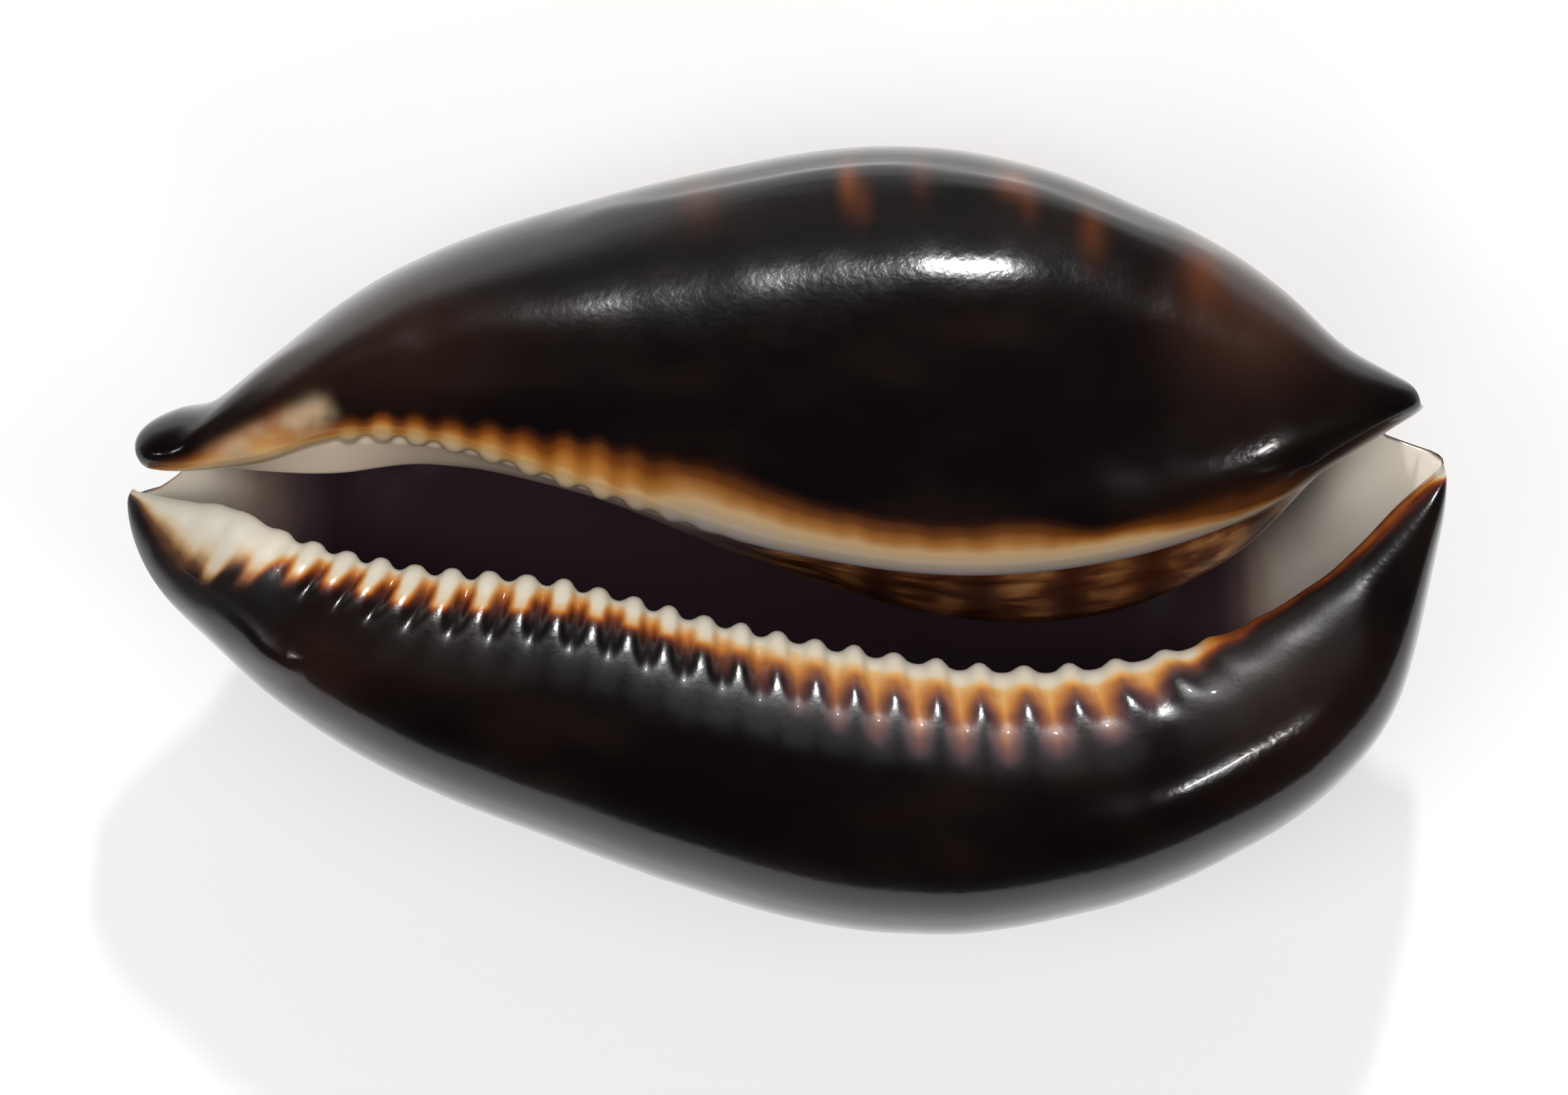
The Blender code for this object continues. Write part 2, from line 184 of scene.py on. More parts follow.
WHORL_TOP_RISE = 0.3      # how far it rises again at its top, as a share of its depth
WHORL_CLOSENESS = 1.8     # a power: above 1, its points are closer together where it shows
print("the whorl bulges", float(along(WHORL_BULGE, 20.0)), "mm past the lip where it shows most")

# %% [markdown]
# ## Cross-sections
#
# At every station along x, a section of the sheet is drawn from eight short curves. Six of them
# are quarters of a rounded oval, each upright at its side point and level at its crown point, so
# they join without a corner. The other two step in under the inner lip and wind round the previous
# whorl. The power says how full a quarter is: 2 is an ellipse, and more is squarer, like the broad
# low back. Subdivision modelling could make the same form, but the lips would be hard to keep
# where they belong.

# %% Sections
LIP_CREST = 0.42          # where a lip stands highest, from its edge (0) to the shell's side (1)
LIP_ROUND, BACK_ROUND, MOUTH_ROUND = 2.2, 2.5, 2.6
OUTER_SHOULDER_ROUND = ((-41, 2.2), (-30, 2.3), (-10, 2.6), (15, 2.8), (30, 2.8), (41, 2.3))
INNER_SHOULDER_ROUND = ((-41, 2.2), (-20, 2.3), (0, 2.5), (10, 2.7), (23, 3.2), (32, 2.9), (41, 2.4))
RIDGE_SHIFT = -0.8        # the back's lowest line stands this far from the middle of the two sides
INNER_EDGE_DROP = 1.25    # the inner lip's edge hangs this many times as low as the outer lip's
BULGE_DROP, BULGE_DROP_BY_SIZE = 0.3, 9.7    # how far below that edge the whorl bulges most
UNDERCUT_FROM, UNDERCUT_OVER = -26.0, 11.0    # from here on the inner lip hangs over the whorl
STEPS = (42, 24, 16, 14, 26, 38, 17, 30, 6, 4)      # points along each piece; the last three are the whorl
PIECE_ENDS = (0, 0.09, 0.25, 0.42, 0.58, 0.72, 0.82, 0.88, 0.93, 0.97, 1.0)    # the stages where they meet
RIDGE_STAGE, INNER_BASE_STAGE, INNER_EDGE_STAGE = PIECE_ENDS[3], PIECE_ENDS[4], PIECE_ENDS[6]


def quarter(side, crown, power, steps, from_side):
    """A quarter of a rounded oval from a side point to a crown point, or back, without its end."""
    turn = np.linspace(0, math.pi / 2, steps, endpoint=False)[:, None]
    if not from_side:
        turn = math.pi / 2 - turn
    c, s = np.cos(turn), np.sin(turn)
    reach = (np.abs(c) ** power + np.abs(s) ** power) ** (-1 / power)
    return crown[0] + (side[0] - crown[0]) * c * reach, side[1] + (crown[1] - side[1]) * s * reach


def whorl_path(x, size, bulge, side_i, steps):
    """The previous whorl's (y, z), hung from its bulge: down, under, up its far side, in at its top."""
    room = np.maximum(side_i - WHORL_CLEARANCE - bulge[0], WHORL_LEAST_SHARE * (side_i - bulge[0]))
    width = np.minimum(WHORL_WIDTH * size, room)
    depth = np.minimum(WHORL_DEPTH * size, 2 * width)
    turn = np.linspace(0, 1, steps)[:, None] ** WHORL_CLOSENESS * math.pi * along(WHORL_TURN, x)
    fall = np.where(turn < math.pi, 0.5 * depth, WHORL_TOP_RISE * depth)
    return bulge[0] + 0.5 * width * (1 - np.cos(turn)), bulge[1] - fall * np.sin(turn)


def section_path(x, steps):
    """The outer skin's (y, z) at each station x, from the outer lip to the whorl's free edge."""
    base, back, widest = along(BASE_Z, x), along(BACK_Z, x), along(WIDEST_Z, x)
    drop, size = along(LIP_DROP, x), np.clip(along(WHORL_SIZE, x), 0, None)
    lip_o, lip_i = along(OUTER_LIP_Y, x), along(INNER_LIP_Y, x)
    side_o, side_i = along(OUTER_SIDE_Y, x), along(INNER_SIDE_Y, x)
    edge_o = (lip_o, base - drop)
    crest_o = (lip_o + LIP_CREST * (side_o - lip_o), base)
    belly_o = (side_o, widest)
    ridge = (0.5 * (side_o + side_i) + RIDGE_SHIFT, back)
    belly_i = (side_i, widest)
    crest_i = (lip_i + LIP_CREST * (side_i - lip_i), base)
    edge_i = (lip_i, base - INNER_EDGE_DROP * drop)
    bulge = (lip_i - along(WHORL_BULGE, x), edge_i[1] - BULGE_DROP - BULGE_DROP_BY_SIZE * size)
    pieces = [
        quarter(edge_o, crest_o, LIP_ROUND, steps[0], True),
        quarter(belly_o, crest_o, along(OUTER_SHOULDER_ROUND, x), steps[1], False),
        quarter(belly_o, ridge, BACK_ROUND, steps[2], True),
        quarter(belly_i, ridge, BACK_ROUND, steps[3], False),
        quarter(belly_i, crest_i, along(INNER_SHOULDER_ROUND, x), steps[4], True),
        quarter(edge_i, crest_i, MOUTH_ROUND, steps[5], False),
    ]
    t = np.linspace(0, 1, steps[6], endpoint=False)[:, None]
    undercut = rising(x, UNDERCUT_FROM, UNDERCUT_OVER)
    pieces.append((edge_i[0] + (bulge[0] - edge_i[0]) * (t + (ease(t) - t) * undercut),
                   edge_i[1] + (bulge[1] - edge_i[1]) * t))
    pieces.append(whorl_path(x, size, bulge, side_i, sum(steps[7:])))
    return np.concatenate([p[0] for p in pieces]), np.concatenate([p[1] for p in pieces])


def stage_of(steps):
    """How far round the sheet each point of a section is: 0 at the outer lip, 1 at its inner end."""
    ends = zip(PIECE_ENDS[:-1], PIECE_ENDS[1:], steps)
    return np.concatenate([np.linspace(a, b, n, endpoint=False) for a, b, n in ends])


print("a section has", sum(STEPS), "points")

# %% [markdown]
# ## Teeth
#
# Twenty-five teeth line the outer lip, closer together at the front. Each is a low rounded ridge
# that starts at the lip's edge and runs outwards, leaning towards the front near the front and
# towards the back near the back. They could be 25 separate lumps, but on the real shell they are
# folds of the same sheet, so here they are one wave: its phase counts the teeth, and the surface
# is pushed out along its normal by the wave. The front part of the inner lip has smaller ones.

# %% Tooth wave
TOOTH_AT = ((0, -31.25), (4, -23.0), (8, -13.8), (12, -5.05), (16, 4.2), (20, 14.7), (24, 26.3))
LAST_TOOTH = TOOTH_AT[-1][0]
TOOTH_LEAN = ((-41, -0.5), (-30, -0.55), (-25, -0.5), (-21, -0.35), (-16, -0.25), (-8, -0.1),
              (0, 0.0), (10, 0.05), (15, 0.1), (20, 0.3), (26, 0.6), (41, 0.6))
TOOTH_BREADTH = ((-41, 0.25), (-20, 0.2), (-5, 0.0), (5, -0.2), (12, -0.35), (41, -0.35))
TOOTH_SQUARENESS = 1.1    # more makes teeth and gaps flatter, with steeper sides between them
TOOTH_VARIATION = 0.12    # how much they differ in height
TOOTH_HEIGHT = ((-41, 0.0), (-33, 0.1), (-31, 0.3), (-29, 0.48), (-20, 0.6), (0, 0.58), (15, 0.55),
                (20, 0.5), (24, 0.38), (27, 0.18), (30, 0.04), (41, 0.0))
TOOTH_SINK = 1.2          # over this far from the edge the teeth come down to the lip's own level
TOOTH_WIDENING = 0.55     # and become this much broader than at the edge
TOOTH_RUN = 1.0           # how far a gap keeps its depth
TOOTH_END = ((-41, 3.6), (-10, 3.5), (4, 3.8), (41, 3.8))    # over how much it then ends
FOLD_HEIGHT = ((-41, 0.0), (-32, 0.05), (-26, 0.12), (-18, 0.14), (-6, 0.10), (3, 0.04), (10, 0.0),
               (41, 0.0))
FOLD_RUN = 7.0            # how far the shallow fold carries each tooth on over the lip
FOLD_FLATNESS = 2.2       # above 1 the folds have broad flat tops and narrow bottoms
INNER_TOOTH_HEIGHT = ((-41, 0.0), (-29, 0.0), (-27, 0.35), (-24, 0.5), (-12, 0.5), (-8, 0.3),
                      (-4, 0.08), (-2, 0.0), (41, 0.0))
INNER_TOOTH_OUT, INNER_TOOTH_IN = 2.2, 0.9     # how far they run up the lip, and into the mouth


def tooth_phase(x):
    """Counts the outer lip's teeth along x: a whole number on each tooth, a half between two."""
    counts, places = zip(*TOOTH_AT)
    inside = smooth_through(places, counts, x)
    before = (x - places[0]) / (places[1] - places[0]) * (counts[1] - counts[0])
    after = counts[-1] + (x - places[-1]) / (places[-1] - places[-2]) * (counts[-1] - counts[-2])
    return np.where(x < places[0], before, np.where(x > places[-1], after, inside))


def tooth_wave(x, distance):
    """1 on a tooth and -1 in a gap, at x and at this distance from the lip's edge."""
    phase = tooth_phase(x - along(TOOTH_LEAN, x) * distance)
    breadth = along(TOOTH_BREADTH, x) + TOOTH_WIDENING * ease(distance / TOOTH_SINK)
    low, here, high = (np.tanh(TOOTH_SQUARENESS * (level + breadth))
                       for level in (-1, np.cos(2 * math.pi * phase), 1))
    return 2 * (here - low) / (high - low) - 1


def tooth_height(x):
    """How tall the outer lip's teeth are at x, a little different from one to the next."""
    return steady(TOOTH_HEIGHT, x) * (1 + TOOTH_VARIATION * np.sin(2.4 * tooth_phase(x) + 1.0))


print("teeth from", TOOTH_AT[0][1], "to", TOOTH_AT[-1][1], "mm, and",
      round(float(np.interp(1, tooth_phase(np.linspace(-32, -25, 99)),
                            np.linspace(-32, -25, 99))) - TOOTH_AT[0][1], 2), "mm between the first two")

# %% [markdown]
# ## The wall
#
# The sheet is about 4 mm thick at the lips and 2.5 mm over the back. The inner skin is the outer
# one moved in along its normals. Where a thick wall turns a tight corner, plain normals would
# cross, so they are first averaged along the section over about the wall's own thickness. Towards
# every free edge the wall thins to nothing, so both skins meet: in a rounded rim at the canals, and
# in a wedge at the outer lip and at the sheet's inner end. At both canals the sheet is also set
# back, by an amount that its stage decides, which makes the notches that the animal's siphons used.

# %% Wall thickness
THICKNESS = ((0.0, 4.6), (0.14, 4.2), (0.25, 3.6), (0.42, 2.4), (0.58, 2.6), (0.68, 3.8),
             (0.76, 4.0), (0.83, 2.8), (0.93, 1.9), (1.0, 1.6))
WALL_PER_LIP = 0.24       # the wall is never thicker than this much of the lip's width there
SIDES_MEET, SIDES_BLEND = 0.34, 0.16         # the stages where one lip's width gives way to the other's
RIM_REACH = 3.0           # how far in from a canal's rim the wall is rounded
OUTER_LIP_REACH, INNER_EDGE_REACH = 6.0, 3.5     # how far in from the sheet's two ends the wall thickens
NOTCH_FRONT = ((0.0, 0.4), (0.08, 0.1), (0.25, 0.1), (0.38, 0.4), (0.47, 3.6), (0.56, 2.0),
               (0.64, 0.6), (0.70, 0.5), (0.82, 1.2), (1.0, 2.0))
NOTCH_BACK = ((0.0, 0.3), (0.08, 0.05), (0.25, 0.0), (0.40, 0.1), (0.42, 0.8), (0.435, 2.6),
              (0.448, 4.0), (0.462, 4.5), (0.52, 4.8), (0.62, 2.6), (0.80, 1.5), (1.0, 1.5))
NOTCH_REACH = 14.0        # how far from each end a notch pulls the sheet along
BLUR_PER_WALL, THINNEST_BLURRED = 0.7, 0.1    # the averaging's reach per mm of wall, and the least wall


def round_rim(distance, radius):
    """Grows from 0 at a free edge to 1 a rim radius away from it, as a quarter circle does."""
    near = 1 - np.clip(distance / radius, 0, 1)
    return np.sqrt(1 - near**2)


def wedge(distance, reach):
    """Grows from 0 at a free edge to 1 at its reach, in an even curve that leaves a wedge."""
    return 1 - (1 - np.clip(distance / reach, 0, 1)) ** 2


def grid_normals(skin):
    """Unit normals of a grid of points, pointing away from the shell wall."""
    normal = np.cross(np.gradient(skin, axis=0), np.gradient(skin, axis=1))
    return normal / np.maximum(np.linalg.norm(normal, axis=2, keepdims=True), 1e-9)


def run_along(points, axis):
    """The distance walked along one axis of a grid of points."""
    first = np.take(points, [0], axis=axis)
    steps = np.linalg.norm(np.diff(points, axis=axis, prepend=first), axis=2)
    return np.cumsum(steps, axis=axis)


def blurred(field, arc, reach):
    """The field averaged along each section, over about the given reach."""
    weight = np.exp(-0.5 * ((arc[:, None] - arc[None]) / reach[:, None]) ** 2)
    weight *= np.gradient(arc, axis=0)[None]
    weight /= weight.sum(axis=1, keepdims=True)
    return np.einsum("stv,tvc->svc", weight, field)


def wall_thickness(x, stage, arc, run):
    """The wall at each point: what its stage asks for, thinned for narrow lips and every free edge."""
    width_o = along(OUTER_LIP_Y, x) - along(OUTER_SIDE_Y, x)
    width_i = along(INNER_SIDE_Y, x) - along(INNER_LIP_Y, x)
    inner_share = rising(stage[:, None], SIDES_MEET, SIDES_BLEND)
    most = WALL_PER_LIP * (width_o * (1 - inner_share) + width_i * inner_share)
    wall = np.minimum(smooth_through(*zip(*THICKNESS), stage)[:, None], most)
    wall = wall * wedge(arc, OUTER_LIP_REACH) * wedge(arc[-1] - arc, INNER_EDGE_REACH)
    return wall * round_rim(run, RIM_REACH) * round_rim(run[:, -1:] - run, RIM_REACH)


def pulled_in(x, stage):
    """How far each point is moved along x to cut the two canals' notches."""
    front, back = (x + HALF) / NOTCH_REACH, (HALF - x) / NOTCH_REACH
    at_front, at_back = (np.clip(smooth_through(*zip(*notch), stage), 0, None)[:, None]
                         for notch in (NOTCH_FRONT, NOTCH_BACK))
    return at_front * (1 - ease(front)) - at_back * (1 - ease(back))


print("the wall is", float(smooth_through(*zip(*THICKNESS), 0.5)), "mm thick at the back")

# %% [markdown]
# ## Relief on the outer skin
#
# What catches the light on a glossy dark shell is small relief: the teeth, the shallow folds that
# run on from them, a groove where the inner lip overhangs the previous whorl, a ridge with growth
# lines along the margin, a few raised lines and dents, a low swelling, and a surface that is never
# quite even. A bump map would leave the outline smooth, so all of this moves the mesh itself, each
# part as a height along the normal.

# %% Relief
GROOVE_DEPTH = ((-41, 0.0), (-14, 0.0), (-6, 0.2), (8, 0.5), (25, 0.4), (30, 0.1), (33, 0.0), (41, 0.0))
GROOVE_AT, GROOVE_WIDTH = 0.95, 0.45     # how far below the lip's edge it lies
CREASES = (    # raised lines: height, width, and the points that each runs through
    (0.10, 0.40, ((-39.7, 0.6), (-39.2, -0.9), (-37.8, -2.7), (-35.6, -4.7))),
    (0.22, 0.50, ((-38.4, 5.7), (-36.9, 6.7), (-34.5, 8.9), (-31.5, 11.4), (-28.0, 13.6))),
    (0.20, 0.80, ((-34.6, -5.1), (-32.4, -6.7), (-30.9, -7.4), (-29.4, -6.8), (-27.4, -5.8))),
    (0.08, 0.30, ((28.4, 4.1), (30.3, 4.6), (31.8, 5.1), (33.9, 5.3))),
)
MARGIN_Y = ((-41, 3.0), (-20, 16.8), (-11.6, 20.7), (-7.2, 21.3), (-1.4, 22.3), (2.7, 23.0),
            (5.8, 23.2), (10.1, 22.8), (15.2, 21.8), (18.5, 20.7), (21.6, 19.6), (26.2, 18.0), (41, 7.0))
MARGIN_HEIGHT = ((-41, 0.0), (-16, 0.0), (-10, 0.25), (0, 0.5), (18, 0.5), (25, 0.2), (29, 0.0), (41, 0.0))
MARGIN_INSIDE, MARGIN_OUTSIDE = 2.4, 0.8     # how far the ridge takes to fall on its two sides
MARGIN_SHARPNESS = 1.4    # 1 gives straight sides, and more gives hollow ones and a sharper top
GROWTH_LINES = 0.03       # how tall the fine lines are that run just inside the ridge
GROWTH_LINE_SPACING, GROWTH_LINES_AT, GROWTH_LINES_REACH = 0.55, 1.1, 0.9
DENTS = ((22.9, 16.8, 1.3), (25.4, 16.0, 1.0), (28.6, 14.5, 1.6), (-22.5, 13.8, 1.6))
DENT_DEPTH = 0.12
SWELLING_AT, SWELLING_REACH, SWELLING = (11.5, 17.2), (9.0, 6.5), 0.3    # a broad low swelling
UNEVENNESS = 0.035
EVEN_NEAR_LIPS = 3.0      # over this far from both lips the waves grow to their full height
CREASE_FADE = 0.25        # the share of its length over which a raised line fades at each end
OUTER_RELIEF_TO, OUTER_RELIEF_FADE = 0.2, 0.15    # the stages where the outer lip's relief ends
PLAIN_BACK, PLAIN_FADE = 0.15, 0.05    # how far round from the ridge the back has no marks


def crease(x, y, points, width):
    """A smooth raised line through the given points, seen from above, fading out at its two ends."""
    nearest = np.full(x.shape, np.inf)
    place = np.zeros(x.shape)
    for i, ((ax, ay), (bx, by)) in enumerate(zip(points[:-1], points[1:])):
        span = (bx - ax) ** 2 + (by - ay) ** 2
        t = np.clip(((x - ax) * (bx - ax) + (y - ay) * (by - ay)) / span, 0, 1)
        gap = np.hypot(x - ax - t * (bx - ax), y - ay - t * (by - ay))
        place = np.where(gap < nearest, i + t, place)
        nearest = np.minimum(nearest, gap)
    share = place / (len(points) - 1)
    return hump(nearest / width) * ease(share / CREASE_FADE) * ease((1 - share) / CREASE_FADE)


def unevenness(x, y):
    """Slow waves in the surface: five sine waves, each with its own direction and start."""
    waves = ((0.42, 0.13, 0.4), (-0.21, 0.51, 1.9), (0.73, -0.36, 3.1), (0.17, 0.83, 5.0),
             (1.1, 0.5, 2.2))
    return sum(np.sin(a * x + b * y + c) / (1 + i) for i, (a, b, c) in enumerate(waves))


def lip_relief(x, over, stage, from_edge):
    """The teeth and folds of the outer lip, and the teeth and the groove of the inner one."""
    wave = tooth_wave(x, over)
    outer_half = 1 - rising(stage, OUTER_RELIEF_TO, OUTER_RELIEF_FADE)
    inner_half = 1 - outer_half
    on_lip = 1 - rising(over, TOOTH_RUN, steady(TOOTH_END, x))
    height = 0.5 * tooth_height(x) * (wave - ease(over / TOOTH_SINK)) * on_lip * outer_half
    fold = (1 - ease(over / FOLD_RUN)) * ease(over / TOOTH_SINK)
    height -= steady(FOLD_HEIGHT, x) * (0.5 - 0.5 * wave) ** FOLD_FLATNESS * fold * outer_half
    near = np.where(from_edge < 0, ease(1 + from_edge / INNER_TOOTH_OUT),
                    ease(1 - from_edge / INNER_TOOTH_IN))
    height += 0.5 * steady(INNER_TOOTH_HEIGHT, x) * tooth_wave(x, 0) * near * inner_half
    return height - steady(GROOVE_DEPTH, x) * hump((from_edge - GROOVE_AT) / GROOVE_WIDTH) * inner_half


def marks_relief(x, y, stage, outside):
    """The raised lines, the dents and the swelling, none of which is on the back."""
    base_side = rising(np.abs(stage - RIDGE_STAGE), PLAIN_BACK, PLAIN_FADE)
    height = sum(tall * crease(x, y, points, width) for tall, width, points in CREASES) * base_side * outside
    dents = sum(hump(np.hypot(x - at_x, y - at_y) / size) for at_x, at_y, size in DENTS)
    height -= DENT_DEPTH * base_side * dents
    swelling = np.hypot((x - SWELLING_AT[0]) / SWELLING_REACH[0], (y - SWELLING_AT[1]) / SWELLING_REACH[1])
    return height + SWELLING * hump(swelling) * (stage > INNER_BASE_STAGE) * outside


def margin_relief(x, y, stage):
    """The ridge along the margin, with fine growth lines just inside it."""
    inside = along(MARGIN_Y, x) - y
    fallen = np.clip(np.abs(inside) / np.where(inside > 0, MARGIN_INSIDE, MARGIN_OUTSIDE), 0, 1)
    ridge = (1 - fallen) ** MARGIN_SHARPNESS
    lines = np.sin(2 * math.pi * inside / GROWTH_LINE_SPACING)
    lines *= hump((inside - GROWTH_LINES_AT) / GROWTH_LINES_REACH)
    return steady(MARGIN_HEIGHT, x) * (ridge + 2 * GROWTH_LINES * lines) * (stage > INNER_BASE_STAGE)


def relief(skin, stage, arc, from_edge):
    """How far each point of the outer skin stands proud of the plain section."""
    x, y, stage = skin[:, :, 0], skin[:, :, 1], stage[:, None]
    over = np.clip(along(OUTER_LIP_Y, x) - y, 0, 20)
    inward = ease(arc / EVEN_NEAR_LIPS) * ease(-from_edge / EVEN_NEAR_LIPS)
    return (lip_relief(x, over, stage, from_edge) + marks_relief(x, y, stage, from_edge < 0)
            + margin_relief(x, y, stage) + UNEVENNESS * unevenness(x, y) * inward)


print(len(CREASES), "raised lines and", len(DENTS), "dents")

# %% [markdown]
# ## The two skins
#
# Stations along x are set ten to a tooth where there are teeth, and closer and closer together
# towards both tips. Each skin is a grid, points round the section by stations along the length.

# %% Skins
PER_TOOTH = 10
FRONT_STATIONS, BACK_STATIONS = 46, 60
INSIDE_TOOTH_RUN = 2.0     # the teeth run this far down inside the outer lip


def stations():
    """Where the sections stand: evenly over every tooth, and closer near both ends."""
    fine = np.linspace(TOOTH_AT[0][1], TOOTH_AT[-1][1], 4001)
    counts = np.arange(LAST_TOOTH * PER_TOOTH + 1) / PER_TOOTH
    teeth = np.interp(counts, tooth_phase(fine), fine)
    start, end = station_angle(teeth[0]), station_angle(teeth[-1])
    front = -HALF * np.cos(np.linspace(0, start, FRONT_STATIONS, endpoint=False))
    back = -HALF * np.cos(np.linspace(math.pi, end, BACK_STATIONS, endpoint=False))[::-1]
    return np.concatenate([front, teeth, back])


X = stations()
Y, Z = section_path(X, STEPS)
STAGE = stage_of(STEPS)
SHEET = np.stack([X + pulled_in(X, STAGE), Y, Z], axis=2)
ARC = run_along(SHEET, 0)
RUN = run_along(SHEET, 1)
EDGE_ROW = sum(STEPS[:6])
FROM_EDGE = ARC - ARC[EDGE_ROW]
NORMAL = grid_normals(SHEET)
WALL = wall_thickness(X, STAGE, ARC, RUN)
REACH = BLUR_PER_WALL * np.maximum(WALL, THINNEST_BLURRED)
OUTER = SHEET + NORMAL * relief(SHEET, STAGE, ARC, FROM_EDGE)[:, :, None]
INNER = SHEET - blurred(NORMAL, ARC, REACH) * WALL[:, :, None]
inside_teeth = 0.5 * tooth_height(SHEET[:, :, 0]) * tooth_wave(SHEET[:, :, 0], 0)
INNER += NORMAL * (inside_teeth * (1 - ease(ARC / INSIDE_TOOTH_RUN)))[:, :, None]
print("each skin has", OUTER.shape[0], "x", OUTER.shape[1], "points; the section is",
      round(float(ARC[-1].max()), 1), "mm round at most")

# %% [markdown]
# ## Colour bands as numbers on the mesh
#
# The glaze changes colour in bands that follow the two lips: cream at the edge, then amber, rust
# and nearly black. Painting them as a picture would tie them to one resolution. Instead, every
# vertex carries plain numbers, and the finish turns them into colours. A tone is 0 at a lip's edge
# and grows to 1 where the last band ends, so the same ramp of colours serves narrow bands and wide
# ones. On a tooth the bands end elsewhere than in the gap beside it, which draws the little flames
# between the teeth.

# %% Bands of the outer lip
OUTER_BANDS = (    # x; where cream, amber and rust end on a tooth; where they end in a gap
    (-41.0, 0.1, 0.2, 0.5, 0.1, 0.2, 0.5), (-40.0, 0.3, 0.5, 0.9, 0.3, 0.5, 0.9),
    (-37.8, 1.2, 2.0, 3.1, 1.2, 2.0, 3.1), (-35.5, 2.6, 3.5, 4.8, 2.2, 3.3, 4.7),
    (-33.3, 3.9, 4.7, 5.5, 2.8, 3.9, 4.8), (-32.2, 3.7, 4.6, 5.5, 2.2, 3.3, 4.3),
    (-31.25, 2.9, 4.2, 5.2, 1.8, 2.8, 3.8), (-30.2, 2.6, 3.6, 4.4, 1.0, 2.0, 3.3),
    (-29.2, 2.2, 2.8, 3.5, 0.7, 1.5, 3.0), (-27.0, 1.9, 2.4, 3.1, 0.5, 1.3, 3.0),
    (-23.0, 2.1, 2.5, 3.0, 0.3, 1.2, 3.0), (-18.0, 1.9, 2.3, 2.8, 0.25, 1.2, 3.1),
    (-14.0, 1.6, 2.1, 2.7, 0.25, 1.2, 3.0), (-10.0, 1.5, 1.9, 2.5, 0.4, 1.3, 2.8),
    (-5.0, 1.3, 1.8, 2.4, 0.5, 1.8, 3.4), (0.0, 1.2, 1.7, 2.6, 0.6, 2.6, 5.0),
    (5.0, 1.1, 1.6, 2.8, 0.9, 3.7, 6.3), (10.0, 1.0, 1.5, 2.8, 1.1, 4.1, 6.6),
    (15.0, 0.9, 1.4, 2.7, 1.1, 4.0, 6.4), (20.0, 0.8, 1.2, 2.3, 1.0, 3.1, 5.1),
    (23.0, 0.6, 1.0, 1.8, 0.8, 1.6, 3.0), (26.0, 0.4, 0.7, 1.3, 0.5, 0.9, 1.8),
    (28.0, 0.1, 0.3, 0.9, 0.2, 0.5, 1.1), (33.0, 0.05, 0.15, 0.6, 0.05, 0.15, 0.6),
    (37.0, 0.1, 0.4, 1.6, 0.1, 0.4, 1.6), (40.2, 0.2, 0.6, 1.5, 0.2, 0.6, 1.5),
    (40.7, 0.8, 1.2, 2.0, 0.8, 1.2, 2.0), (41.0, 1.6, 2.2, 3.0, 1.6, 2.2, 3.0),
)
FLAMES_FROM, FLAMES_OVER = -6.0, 8.0     # from here on, stripes on the teeth give way to flames
LEAST_TONE = ((-41, 0.35), (-39.6, 0.1), (-38, 0.0), (23, 0.0), (28, 0.64), (33, 0.68),
              (38, 0.62), (40, 0.45), (40.8, 0.1), (41, 0.1))    # behind the last tooth the edge isn't pale
MATT_GAPS = ((-41, 0.0), (-30, 0.0), (-24, 0.5), (-8, 0.7), (2, 1.0), (20, 1.0), (24, 0.3),
             (28, 0.0), (41, 0.0))
MATT_FROM, MATT_TO, MATT_FADE = 2.6, 5.6, 2.2    # over the lip, where teeth and gaps are less polished
MATT_LIP = ((-41, 0.8), (-33, 1.0), (-29, 0.1), (22, 0.0), (26, 0.7), (35, 0.6), (36.5, 0.0),
            (41, 0.0))
MATT_LIP_TO, MATT_LIP_FADE = 5.0, 3.0    # over the lip, as far as it is less polished at both ends
LEAST_BAND = 0.05


def read_table(rows, column, x):
    """One column of a table whose rows start with x, read at x."""
    return along([(row[0], row[column]) for row in rows], x)


def band_tone(distance, ends):
    """0 at an edge, growing by an equal step over each band, to 1 where the last one ends."""
    tone, start = np.zeros(distance.shape), 0.0
    for end in ends:
        tone += np.clip((distance - start) / np.maximum(end - start, LEAST_BAND), 0, 1)
        start = end
    return tone / len(ends)


def outer_tones(x, over):
    """The outer lip's tone on a tooth and in a gap, and the count of teeth, leaning as they do."""
    root = x - along(TOOTH_LEAN, x) * np.clip(over, 0, 6)
    tones = []
    for first in (1, 4):
        ends = [read_table(OUTER_BANDS, first + band, root) for band in range(3)]
        tones.append(np.maximum(band_tone(over, ends), steady(LEAST_TONE, x)))
    return tones[0], tones[1], tooth_phase(root)


print("behind the middle, amber runs out", OUTER_BANDS[17][5], "mm between two teeth")
